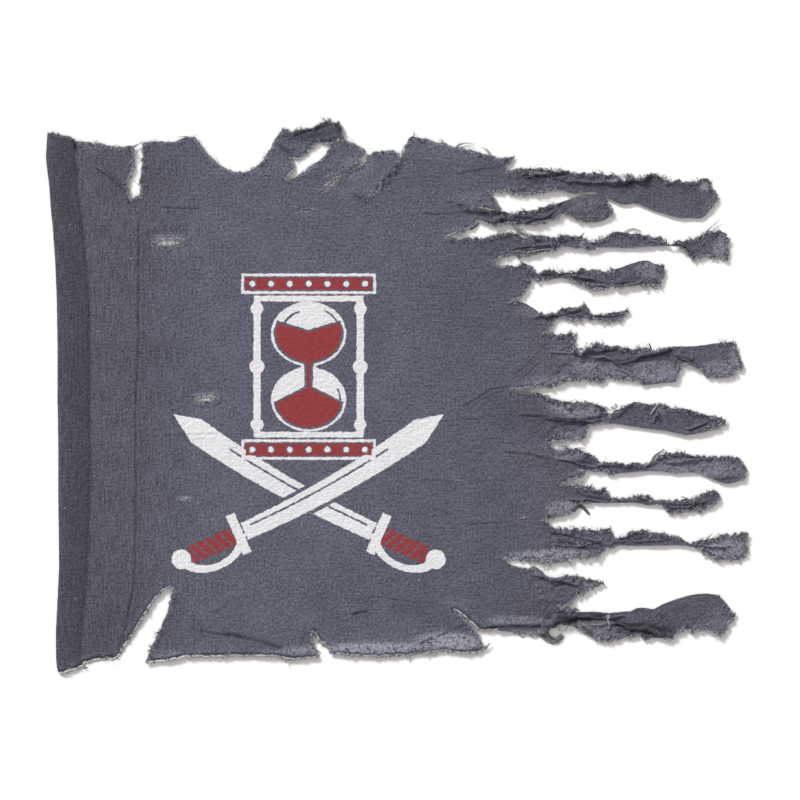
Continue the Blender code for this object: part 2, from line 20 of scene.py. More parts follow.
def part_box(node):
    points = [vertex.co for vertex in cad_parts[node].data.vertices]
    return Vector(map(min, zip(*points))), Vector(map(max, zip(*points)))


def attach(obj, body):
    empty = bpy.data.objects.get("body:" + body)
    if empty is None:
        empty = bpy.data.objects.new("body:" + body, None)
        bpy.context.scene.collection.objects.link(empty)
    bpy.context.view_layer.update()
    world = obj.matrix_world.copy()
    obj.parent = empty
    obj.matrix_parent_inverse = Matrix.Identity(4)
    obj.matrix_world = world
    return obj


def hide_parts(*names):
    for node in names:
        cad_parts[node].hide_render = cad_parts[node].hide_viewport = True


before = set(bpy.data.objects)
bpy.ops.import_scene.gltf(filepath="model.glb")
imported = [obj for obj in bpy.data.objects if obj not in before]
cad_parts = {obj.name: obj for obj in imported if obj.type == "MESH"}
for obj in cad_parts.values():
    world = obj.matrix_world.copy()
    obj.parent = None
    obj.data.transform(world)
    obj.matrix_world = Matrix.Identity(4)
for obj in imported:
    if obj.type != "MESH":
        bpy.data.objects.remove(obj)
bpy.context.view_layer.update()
CAD_LOW, CAD_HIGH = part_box("flag_cloth")
print("packed flag:", [round(1000 * (b - a)) for a, b in zip(CAD_LOW, CAD_HIGH)], "mm")

# %% [markdown]
# ## Soft steps and soft chance
# Cloth has no hard corners, so nearly every shape here starts and ends with a smooth step.  It is
# uneven in a soft way too: a small grid of seeded random numbers, read with smooth steps between
# them, gives values that drift over whatever size is asked for.

# %% Smooth steps, spots and drifting values
DRIFT_CELLS = 61  # each way, before the numbers repeat


def smooth(share):
    """From 0 to 1 with level ends."""
    share = np.clip(share, 0.0, 1.0)
    return share * share * (3.0 - 2.0 * share)


def within(x, start, end, fade):
    """1 between two places, and 0 beyond them."""
    return smooth((x - start) / fade) * smooth((end - x) / fade)


def spot(x, y, oval, reach):
    """1 in an oval (x, y, half length, half height), 0 beyond its size times reach."""
    middle_x, middle_y, half_length, half_height = oval
    return smooth(reach - np.hypot((x - middle_x) / half_length, (y - middle_y) / half_height))


def drift(x, y, size, seed):
    """Random values from -1 to 1 that drift over the given size."""
    cells = np.random.default_rng(seed).uniform(-1.0, 1.0, (DRIFT_CELLS, DRIFT_CELLS))
    across, up = x / size, y / size
    column, row = np.floor(across).astype(int), np.floor(up).astype(int)
    right, above = smooth(across - column), smooth(up - row)
    low, high = (cells[column % DRIFT_CELLS, level % DRIFT_CELLS] * (1 - right)
                 + cells[(column + 1) % DRIFT_CELLS, level % DRIFT_CELLS] * right
                 for level in (row, row + 1))
    return low * (1 - above) + high * above


def unit(vectors):
    """Vectors made 1 long."""
    return vectors / np.maximum(np.linalg.norm(vectors, axis=-1, keepdims=True), 1e-9)


print("soft chance:", drift(np.arange(4.0), np.zeros(4), 2.0, 1))

# %% [markdown]
# ## The edges of the panel
# The panel is the whole part of the flag, left of the strips.  Its edges are torn, with short
# tears, two long ones beside the pole sleeve, a scoop and a few loose flaps.  Each stretch is a
# row of corner points, and a ragged wobble comes later.

# %% Hoist, lower edge and upper edge
# The hoist: (y, x of the turned edge, width of the hem)
HOIST = (
    (4, 15, 29), (10, 13, 30), (20, 12, 32), (60, 12, 34), (100, 14, 36), (140, 16, 38), (225, 15, 41),
    (292, 15, 43), (353, 14, 42), (420, 14, 43), (481, 13, 43), (530, 11, 41), (571, 8, 40), (590, 6, 40),
    (630, 3, 38), (645, 1, 39), (664, -1, 39), (694, 1, 36),
)
HEM_ENDS = (10.0, 686.0)  # y of the ends of the hem's raw edge
LOWER_EDGE = {
    "hoist corner": ((15, 4), (22, 4), (30, 7), (38, 10), (45, 13), (50, 18), (62, 21), (80, 22)),
    "long tear": ((91, 24), (97, 34), (105, 47), (114, 60), (122, 75), (131, 88), (140, 100), (145, 106),
      (150, 112), (158, 116), (162, 112), (160, 105), (157, 88), (153, 78), (149, 68), (140, 50),
      (133, 33), (129, 24)),
    "first run": ((127, 17), (140, 19), (158, 21), (175, 25), (210, 26), (250, 27), (280, 27), (300, 25),
      (318, 22), (335, 24)),
    "short tear": ((347, 25), (343, 33), (340, 41), (338.5, 49), (339, 54), (341.5, 57.5), (344.5, 52),
      (349, 43), (357, 41), (361, 36)),
    "second run": ((362, 31), (380, 28), (400, 27), (430, 26), (460, 27), (480, 30), (500, 33), (510, 33),
      (530, 30), (550, 31), (560, 34)),
    "thin tear": ((566, 41), (560, 37), (555, 42), (552, 50), (548, 58), (541, 67), (532, 75), (522, 85),
      (534, 76.5), (543, 68.5), (551, 60)),
}
UPPER_EDGE = {
    "hoist corner": ((1, 694), (10, 694), (20, 691), (30, 689), (37, 686), (39, 682), (42, 684),
      (55, 682), (75, 679), (90, 677), (100, 677), (110, 678)),
    "long slit": ((117, 680), (113, 675), (111, 665), (111, 650), (109, 643), (106, 640), (105, 630),
      (103, 625), (105, 618), (107, 611), (110, 609), (115, 613), (119, 615), (120, 622), (120, 640),
      (122, 655), (123, 665), (122, 680)),
    "first run": ((133, 684), (150, 683), (165, 683), (172, 687), (178, 689), (190, 688)),
    "scoop": ((195, 683), (201, 674), (208, 665), (217, 657), (226, 650), (236, 646), (247, 644),
      (257, 645), (265, 649), (273, 655), (280, 663), (285, 672), (289, 679), (292, 685), (296, 691)),
    "raised flap": ((300, 697), (303, 701), (310, 696), (320, 698), (330, 699), (340, 701), (348, 705),
      (356, 709), (363, 712), (366, 707), (374, 708), (377, 703), (379, 695), (380, 688)),
    "second slit": ((371, 683), (362, 680), (350, 682), (343, 680), (338, 674), (332, 669), (328, 665),
      (322, 661), (314, 661), (317, 655), (316, 650), (312, 643), (306, 636), (312, 634), (320, 640),
      (328, 645), (335, 651), (345, 657), (353, 662), (360, 672), (364, 677), (372, 681), (380, 686)),
    "middle flap": ((386, 684), (392, 681), (400, 677), (408, 673), (405, 667), (401, 660), (396, 655),
      (391, 650), (388, 646), (393, 648), (398, 651), (404, 655), (409, 659)),
    "turned flap": ((413, 665), (418, 670), (430, 671), (437, 673), (443, 672), (448, 668), (450, 662),
      (446, 652), (438, 642), (429, 632), (420, 622), (411, 611), (421, 621), (430, 631), (440, 641),
      (448, 650), (453, 660)),
    "second run": ((455, 668), (458, 673), (460, 680), (462, 687), (467, 689), (475, 688), (485, 687),
      (495, 683), (510, 680), (520, 677), (530, 675), (540, 673), (550, 670), (560, 668), (570, 665),
      (580, 663), (590, 662), (599, 664), (594, 657), (588, 650)),
}
print("corners:", *(sum(map(len, rows.values())) for rows in (LOWER_EDGE, UPPER_EDGE)))

# %% [markdown]
# ## The strips of the fly
# The fly is torn along its threads, so in the flat cloth the strips are straight and lie edge to
# edge.  Lying loose they gather and look narrower.  So each strip has the lines of its edges and
# of its soft folds as it lies, and how much wider its cloth is there.  Where an edge is a smooth
# turn of the cloth, "turned" says from where to where.

# %% Tips of the tears, and the strips between them
TEARS = (
    (560, 58), (655, 88), (585, 150), (639, 200), (656, 247), (642, 297), (597, 367), (636, 439),
    (597, 481), (567, 529), (510, 562), (567, 620), (585, 645),
)
STRIPS = (
    {"gather": 1.55, "turned": {"upper": (668, 862), "lower": (572, 634)},
     "lower": ((570, 60), (585, 58), (600, 56), (620, 55), (637, 56), (645, 63), (658, 67), (675, 64),
      (685, 60), (692, 55), (698, 51), (710, 47), (720, 45), (740, 50), (752, 51), (756, 56), (760, 55),
      (763, 47), (780, 52), (793, 46), (800, 48), (805, 53), (815, 60), (825, 57), (845, 61), (850, 58),
      (862, 53), (868, 57), (871, 68), (880, 77)),
     "upper": ((668, 86), (680, 82), (700, 83), (720, 81), (740, 83), (747, 83), (753, 87), (762, 88),
      (770, 87), (775, 85), (780, 88), (790, 93), (800, 97), (810, 100), (820, 103), (830, 105),
      (843, 106), (860, 104), (865, 98), (870, 90), (875, 84), (880, 79)),
     "folds": (((630, 66), (655, 78), (685, 75), (720, 74), (745, 79)),
      ((690, 62), (725, 64), (768, 65), (796, 56)))},
    {"gather": 1.3, "turned": {},
     "lower": ((662, 90), (670, 92), (674, 100), (683, 104), (688, 108), (693, 112), (700, 116),
      (707, 117), (712, 119)),
     "upper": ((592, 143), (600, 140), (607, 138), (625, 139), (630, 136), (635, 131), (642, 128),
      (650, 126), (665, 129), (680, 128), (690, 125), (700, 123), (712, 121)),
     "folds": (((615, 130), (642, 123), (665, 119), (690, 115)),)},
    {"gather": 1.5, "turned": {"lower": (722, 836)},
     "lower": ((600, 149), (620, 148), (640, 145), (655, 147), (665, 148), (675, 151), (685, 152),
      (695, 153), (710, 157), (712, 163), (722, 165), (735, 168), (745, 167), (760, 167), (800, 168),
      (818, 167), (833, 163), (840, 158), (845, 153), (850, 150), (880, 149), (890, 148), (896, 160)),
     "upper": ((642, 192), (648, 189), (660, 188), (690, 187), (705, 187), (720, 190), (722, 189),
      (724, 177), (733, 177), (740, 180), (746, 184), (752, 186), (760, 187), (780, 183), (790, 184),
      (795, 180), (810, 178), (818, 169), (828, 171), (840, 173), (850, 175), (860, 179), (880, 182),
      (896, 182)),
     "folds": (((625, 180), (655, 182), (690, 177), (722, 172)),
      ((640, 166), (680, 165), (712, 170), (750, 174), (800, 175)), ((828, 168), (850, 166), (880, 168)))},
    {"gather": 1.5, "turned": {"lower": (690, 790)},
     "lower": ((650, 204), (660, 206), (672, 208), (675, 213), (680, 218), (683, 222), (695, 222),
      (725, 222), (755, 222), (768, 219), (785, 220), (793, 213), (795, 208), (820, 210), (840, 212),
      (853, 219), (860, 226)),
     "upper": ((665, 244), (685, 244), (693, 243), (705, 238), (712, 240), (715, 243), (717, 232),
      (721, 227), (750, 228), (760, 231), (768, 233), (775, 226), (795, 224), (825, 226), (832, 224),
      (835, 231), (848, 237), (857, 237), (860, 232)),
     "folds": (((662, 226), (690, 229), (722, 224), (755, 225), (775, 225)),
      ((786, 216), (820, 217), (852, 227)))},
    {"gather": 1.55, "turned": {"lower": (722, 892)},
     "lower": ((665, 250), (675, 252), (684, 255), (690, 263), (710, 262), (725, 258), (732, 260),
      (750, 261), (770, 263), (785, 262), (803, 259), (825, 261), (835, 259), (845, 255), (862, 248),
      (870, 246), (880, 248), (890, 252), (895, 256)),
     "upper": ((648, 291), (655, 290), (670, 291), (686, 288), (693, 284), (704, 280), (706, 272),
      (725, 273), (745, 271), (765, 271), (772, 273), (778, 277), (788, 284), (800, 284), (815, 286),
      (820, 282), (845, 281), (870, 280), (882, 280), (888, 276), (892, 270), (895, 262)),
     "folds": (((640, 279), (668, 275), (700, 270), (730, 267), (765, 267)),
      ((785, 272), (820, 276), (858, 276)))},
    {"gather": 1.45, "turned": {"lower": (712, 850)},
     "lower": ((648, 301), (655, 300), (670, 302), (685, 304), (690, 310), (692, 321), (700, 323),
      (725, 323), (740, 321), (760, 318), (775, 316), (790, 314), (805, 311), (817, 308), (828, 310),
      (840, 312), (850, 315), (860, 318), (868, 323)),
     "upper": ((600, 365), (615, 364), (628, 362), (638, 358), (648, 354), (660, 351), (675, 350),
      (698, 350), (703, 346), (714, 343), (717, 332), (727, 338), (735, 342), (742, 346), (750, 350),
      (770, 347), (776, 348), (784, 348), (790, 345), (800, 342), (820, 341), (830, 337), (840, 334),
      (858, 331), (868, 327)),
     "folds": (((606, 337), (632, 331), (665, 329), (690, 329), (716, 330)),
      ((722, 328), (738, 338), (755, 349)), ((772, 320), (784, 344)), ((808, 316), (852, 326)))},
    {"gather": 1.5, "turned": {"lower": (758, 808), "upper": (796, 866)},
     "lower": ((620, 369), (640, 369), (650, 371), (660, 376), (672, 379), (690, 379), (700, 377),
      (712, 375), (716, 383), (722, 383), (730, 379), (738, 379), (745, 381), (752, 379), (758, 376),
      (762, 372), (780, 374), (800, 376), (806, 377), (808, 388), (809, 401), (817, 400), (828, 397),
      (836, 392), (845, 384), (850, 382), (865, 383), (873, 384), (880, 388), (890, 397)),
     "upper": ((645, 437), (652, 436), (660, 437), (666, 437), (670, 443), (673, 441), (675, 416),
      (688, 416), (690, 420), (697, 421), (703, 425), (707, 426), (715, 423), (725, 421), (735, 419),
      (745, 418), (758, 418), (770, 420), (780, 416), (790, 420), (800, 422), (830, 422), (850, 425),
      (865, 427), (880, 428), (882, 413), (890, 399)),
     "folds": (((640, 414), (672, 413), (700, 415), (728, 417)),
      ((690, 401), (745, 405), (772, 409), (806, 418)), ((722, 396), (745, 388), (760, 376)),
      ((796, 411), (820, 406), (840, 392)))},
    {"gather": 1.5, "turned": {"upper": (597, 632)},
     "lower": ((640, 442), (646, 448), (650, 457), (660, 459), (675, 455), (682, 456), (690, 458),
      (698, 457), (705, 455), (712, 456), (725, 452), (731, 452), (735, 457), (744, 465)),
     "upper": ((600, 480), (610, 478), (617, 474), (625, 469), (632, 464), (637, 461), (643, 461),
      (650, 465), (657, 469), (665, 471), (680, 472), (690, 475), (695, 463), (705, 462), (725, 464),
      (733, 466), (744, 468)),
     "folds": (((620, 458), (650, 461), (668, 465), (700, 460), (738, 462)),)},
    {"gather": 1.55, "turned": {"upper": (722, 782), "lower": (632, 668)},
     "lower": ((605, 484), (611, 489), (615, 499), (620, 509), (633, 507), (640, 505), (645, 507),
      (652, 509), (660, 509), (668, 507), (675, 504), (685, 500), (695, 495), (710, 494), (715, 498),
      (730, 499), (755, 502), (765, 500), (778, 499), (785, 501), (790, 514)),
     "upper": ((575, 525), (585, 524), (595, 524), (605, 526), (613, 527), (621, 525), (625, 514),
      (635, 517), (640, 519), (645, 517), (665, 516), (675, 517), (683, 520), (700, 520), (705, 516),
      (715, 518), (725, 520), (735, 523), (745, 527), (755, 530), (765, 532), (770, 531), (778, 527),
      (785, 525), (790, 523)),
     "folds": (((605, 506), (640, 512), (685, 511), (705, 506)), ((700, 501), (735, 503), (768, 508)))},
    {"gather": 1.45, "turned": {"lower": (700, 812)},
     "lower": ((575, 532), (582, 537), (590, 538), (597, 543), (605, 537), (613, 537), (620, 540),
      (630, 541), (640, 542), (650, 544), (660, 551), (675, 550), (683, 547), (690, 546), (700, 547),
      (715, 549), (730, 548), (745, 548), (760, 549), (785, 550), (800, 550), (808, 549), (815, 545),
      (820, 540), (827, 534), (840, 537), (850, 536), (860, 535), (871, 533)),
     "upper": ((515, 560), (525, 559), (535, 560), (550, 560), (565, 561), (575, 563), (585, 566),
      (597, 566), (603, 568), (608, 557), (618, 562), (625, 565), (632, 563), (640, 561), (650, 560),
      (660, 563), (680, 562), (686, 560), (692, 555), (695, 553), (705, 556), (718, 563), (725, 567),
      (732, 569), (740, 567), (750, 566), (768, 564), (773, 560), (785, 563), (790, 553), (797, 552),
      (805, 555), (812, 556), (825, 559), (835, 562), (845, 566), (858, 568), (871, 567)),
     "folds": (((575, 545), (610, 550), (645, 553), (690, 550)),
      ((745, 552), (772, 556), (800, 552), (828, 543)))},
    {"gather": 1.6, "turned": {"upper": (650, 722), "lower": (690, 722)},
     "lower": ((530, 568), (535, 570), (542, 572), (545.5, 576), (547, 583), (551, 586), (557, 585),
      (562, 582), (567, 578), (575, 574), (590, 579), (600, 577), (610, 578), (625, 578), (635, 580),
      (645, 584), (652, 584), (655, 592), (665, 592), (672, 589), (680, 586), (688, 583), (695, 581),
      (702, 580), (710, 582), (718, 586), (722, 591)),
     "upper": ((570, 613), (574, 606), (577, 600), (581, 593), (590, 591), (600, 593), (625, 597),
      (640, 601), (655, 605), (665, 609), (675, 612), (688, 616), (704, 616), (714, 612), (719, 606),
      (722, 597)),
     "folds": (((545, 591), (583, 586), (612, 583), (635, 588), (655, 597)),
      ((652, 595), (676, 591), (700, 583)))},
    {"gather": 1.5, "turned": {"lower": (650, 850)},
     "lower": ((575, 619), (585, 620), (598, 617), (610, 618), (625, 618), (635, 620), (645, 621),
      (650, 623), (660, 620), (668, 618), (678, 617), (690, 619), (700, 620), (712, 613), (722, 609),
      (730, 605), (740, 603), (752, 605), (760, 603), (770, 598), (780, 594), (790, 591), (800, 588),
      (810, 586), (825, 586), (835, 585), (840, 587), (846, 593), (849, 600), (855, 603), (859, 610)),
     "upper": ((592, 647), (600, 648), (613, 649), (628, 650), (640, 647), (650, 645), (660, 645),
      (667, 647), (672, 643), (690, 643), (705, 642), (720, 640), (733, 639), (736, 634), (740, 634),
      (743, 642), (748, 639), (753, 636), (763, 641), (777, 643), (783, 639), (790, 633), (800, 632),
      (810, 633), (820, 631), (828, 630), (835, 633), (842, 636), (848, 632), (850, 622), (859, 613)),
     "folds": (((585, 626), (603, 636), (630, 640), (650, 640), (668, 645)),
      ((640, 634), (690, 632), (718, 631), (746, 631), (778, 642)))},
)
OUTER_EDGES = {0: 0.0, len(TEARS) - 1: 694.0}  # y of the outer strips' flat edges
OUTER_WIDENING = 80.0  # length over which they reach it
print("strips:", len(STRIPS))

# %% [markdown]
# ## Where a strip's cloth is
# A strip has two sets of edges: in the flat cloth, and as the strip lies gathered.  A tear is a
# hairline at its tip and opens over a short length.  Torn edges get small steps, because threads
# snap one by one.

# %% Edges of a strip, flat and as it lies
SLIT = 1.0  # width of a tear in the flat cloth
OPENING = 26.0  # length over which a tear opens to its full width
LEAST_WIDTH = 2.0  # of a strip's flat cloth
TURNED_FADE = 6.0  # length over which a turned edge starts or ends
FOLD_FADE = 16.0  # length over which a fold starts or dies away
ROUNDING = np.array((-2.4, -1.2, 0.0, 1.2, 2.4))  # rounds corners


def edge_at(tip, rows, x):
    """Height of a strip's edge at x, with rounded corners."""
    points = np.array((tip,) + tuple(rows), dtype=float)
    return np.mean([np.interp(x + way, points[:, 0], points[:, 1]) for way in ROUNDING], 0)


def tear_line(number, x):
    """Height of a tear in the flat cloth, where it follows the threads."""
    tip_x, tip_y = TEARS[number]
    edge_y = OUTER_EDGES.get(number, tip_y)
    return tip_y + (edge_y - tip_y) * smooth((x - tip_x) / OUTER_WIDENING)


def strip_parts(x, y):
    """Each strip's number, the x of its root, and which flat points are in it."""
    for number in range(len(STRIPS)):
        root = min(TEARS[number][0], TEARS[number + 1][0])
        above = (x > root) & (y >= tear_line(number, x))
        yield number, root, above & (y < tear_line(number + 1, x))


def is_turned(number, side, x):
    """How surely a strip's edge is a turn of the cloth at x, from 0 to 1."""
    return within(x, *STRIPS[number]["turned"].get(side, (0.0, 0.0)), TURNED_FADE)


def ragged(number, side, x):
    """The small steps of a torn edge; a turned edge has hardly any."""
    seed = x * 0 + 2 * number + (side == "upper")
    steps = 1.7 * drift(x, seed, 4.4, 40) + 1.1 * drift(x, seed, 2.2, 41)
    return steps * (1.0 - 0.85 * is_turned(number, side, x))


def fold_weights(number, x):
    """How fully each of a strip's folds is there, from 0 to 1, at x."""
    ends = [(line[0][0], line[-1][0]) for line in STRIPS[number]["folds"]]
    return np.array([within(x, start, end, min(FOLD_FADE, (end - start) / 2.0))
                     for start, end in ends])


def strip_section(number, x):
    """Edges of a strip at x: (lower, upper) as it lies, then (lower, upper) when flat."""
    strip = STRIPS[number]
    opened_below = smooth((x - TEARS[number][0]) / OPENING)
    opened_above = smooth((x - TEARS[number + 1][0]) / OPENING)
    lower = edge_at(TEARS[number], strip["lower"], x)
    upper = np.maximum(edge_at(TEARS[number + 1], strip["upper"], x), lower + 1.0)
    lowest, highest = tear_line(number, x), tear_line(number + 1, x)
    gather = 1.0 + (strip["gather"] - 1.0) * fold_weights(number, x).max(axis=0)
    wanted = np.maximum(gather * (upper - lower), LEAST_WIDTH)
    lost = np.maximum(highest - lowest - wanted, 0.0) / 2.0 + SLIT / 2.0
    lower = lower + ragged(number, "lower", x) * opened_below
    upper = upper + ragged(number, "upper", x) * opened_above
    return lower, upper, lowest + lost * opened_below, highest - lost * opened_above


print("edges of the lowest strip:", *strip_section(0, np.array((760.0,))))

# %% [markdown]
# ## Laying a strip down
# A fold is easiest to describe by its slope: level, up, over the crest, down, level.  The running
# sum of its cosine gives the way across and that of its sine the height, so the cloth keeps its
# length.  The steepest slope is past upright, so the sides of a full fold overhang.  The result
# is pressed down and leans to the lower side, as folds in thin cotton do.

# %% From flat cloth to folded strip
STEEPEST = 1.9  # slope of a full fold, in radians
FOLDED_SHARE = 0.282  # width of such a fold, as a share of its cloth
MOST_SHORTENED = 0.2  # least width of a strip, as a share of its cloth
LEAST_FOLD = 0.02  # weight of a fold beyond its ends
NARROWEST_FOLD, WIDEST_FOLD = 0.03, 0.85  # shares of the flat width
FOLD_MARGIN = 0.08  # least share from a strip's edge to a fold's middle
FOLD_START = 0.25  # weight at which a fold is at its full slope
JOINED_SHARE = 0.2  # over which folds die at a joined side
PRESS = 0.42  # how far the folds stand up
LEAN = 0.45  # how far a fold leans, for its height
PROP = 0.9  # how far a turned lower edge is propped up
PROP_WIDTH = 10.0  # how far that reaches


def across_curve(share, centres, widths, angles, steps=96):
    """Way across and height of a folded section, for a share of its length."""
    middles = (np.arange(steps) + 0.5) / steps
    slope = np.zeros((len(share), steps))
    for centre, width, angle in zip(centres, widths, angles):
        turn = (middles - centre[:, None]) / width[:, None] + 0.5
        inside = (turn > 0.0) & (turn < 1.0)
        slope += np.where(inside, angle[:, None] * np.sin(2.0 * math.pi * turn), 0.0)
    slope = np.clip(slope, -STEEPEST, STEEPEST)
    rows, place = np.arange(len(share)), share * steps
    cell = np.minimum(place.astype(int), steps - 1)
    sums = []
    for part in (np.cos(slope), np.sin(slope)):
        total = np.concatenate((np.zeros((len(share), 1)), np.cumsum(part, axis=1)), axis=1)
        here = total[rows, cell]
        sums.append((here + (total[rows, cell + 1] - here) * (place - cell)) / steps)
        sums.append(total[:, -1] / steps)
    return sums[0] / sums[1], sums[2]


def lay_strip(number, x, y):
    """Lay points of a strip in its folds: their new y and their height."""
    lower, upper, flat_lower, flat_upper = strip_section(number, x)
    flat_width = flat_upper - flat_lower
    share = np.clip((y - flat_lower) / flat_width, 0.0, 1.0)
    shortened = np.clip((upper - lower) / flat_width, MOST_SHORTENED, 1.0)
    begun = fold_weights(number, x)
    weights = np.maximum(begun, LEAST_FOLD)
    widths = (1.0 - shortened) / (1.0 - FOLDED_SHARE) * weights / weights.sum(axis=0)
    centres = []
    for line in STRIPS[number]["folds"]:
        middle = (np.interp(x, *zip(*line)) - lower) / (upper - lower)
        centres.append(np.clip(middle, FOLD_MARGIN, 1.0 - FOLD_MARGIN))
    tips = (TEARS[number][0], TEARS[number + 1][0])
    end = STRIPS[number]["lower"][-1][0]
    angles = STEEPEST * within(x, min(tips), end, OPENING) * smooth(begun / FOLD_START)
    widths = np.clip(widths, NARROWEST_FOLD, WIDEST_FOLD)
    across, rise = across_curve(share, centres, widths, angles)
    height = PRESS * flat_width * rise
    for tip, from_side in zip(tips, (share, 1.0 - share)):
        joined = 1.0 - smooth((x - tip) / OPENING)
        height *= 1.0 - joined * (1.0 - smooth(from_side / JOINED_SHARE))
    height = np.maximum(height, 0.0)
    new_y = lower + (upper - lower) * across - LEAN * height
    propped = is_turned(number, "lower", x) * smooth(1.0 - (y - flat_lower) / PROP_WIDTH)
    return new_y, height + PROP * propped


print("its middle lies at y and height:", *lay_strip(0, np.array((760.0,)), np.array((40.0,))))

# %% [markdown]
# ## Creases
# Besides the big folds there are fine creases: sharp little valleys with a soft bank on both
# sides, dark because dirt has settled in them.  They are placed by hand as lines, each with a
# depth, a half width and a darkness, and they fade out at their ends.

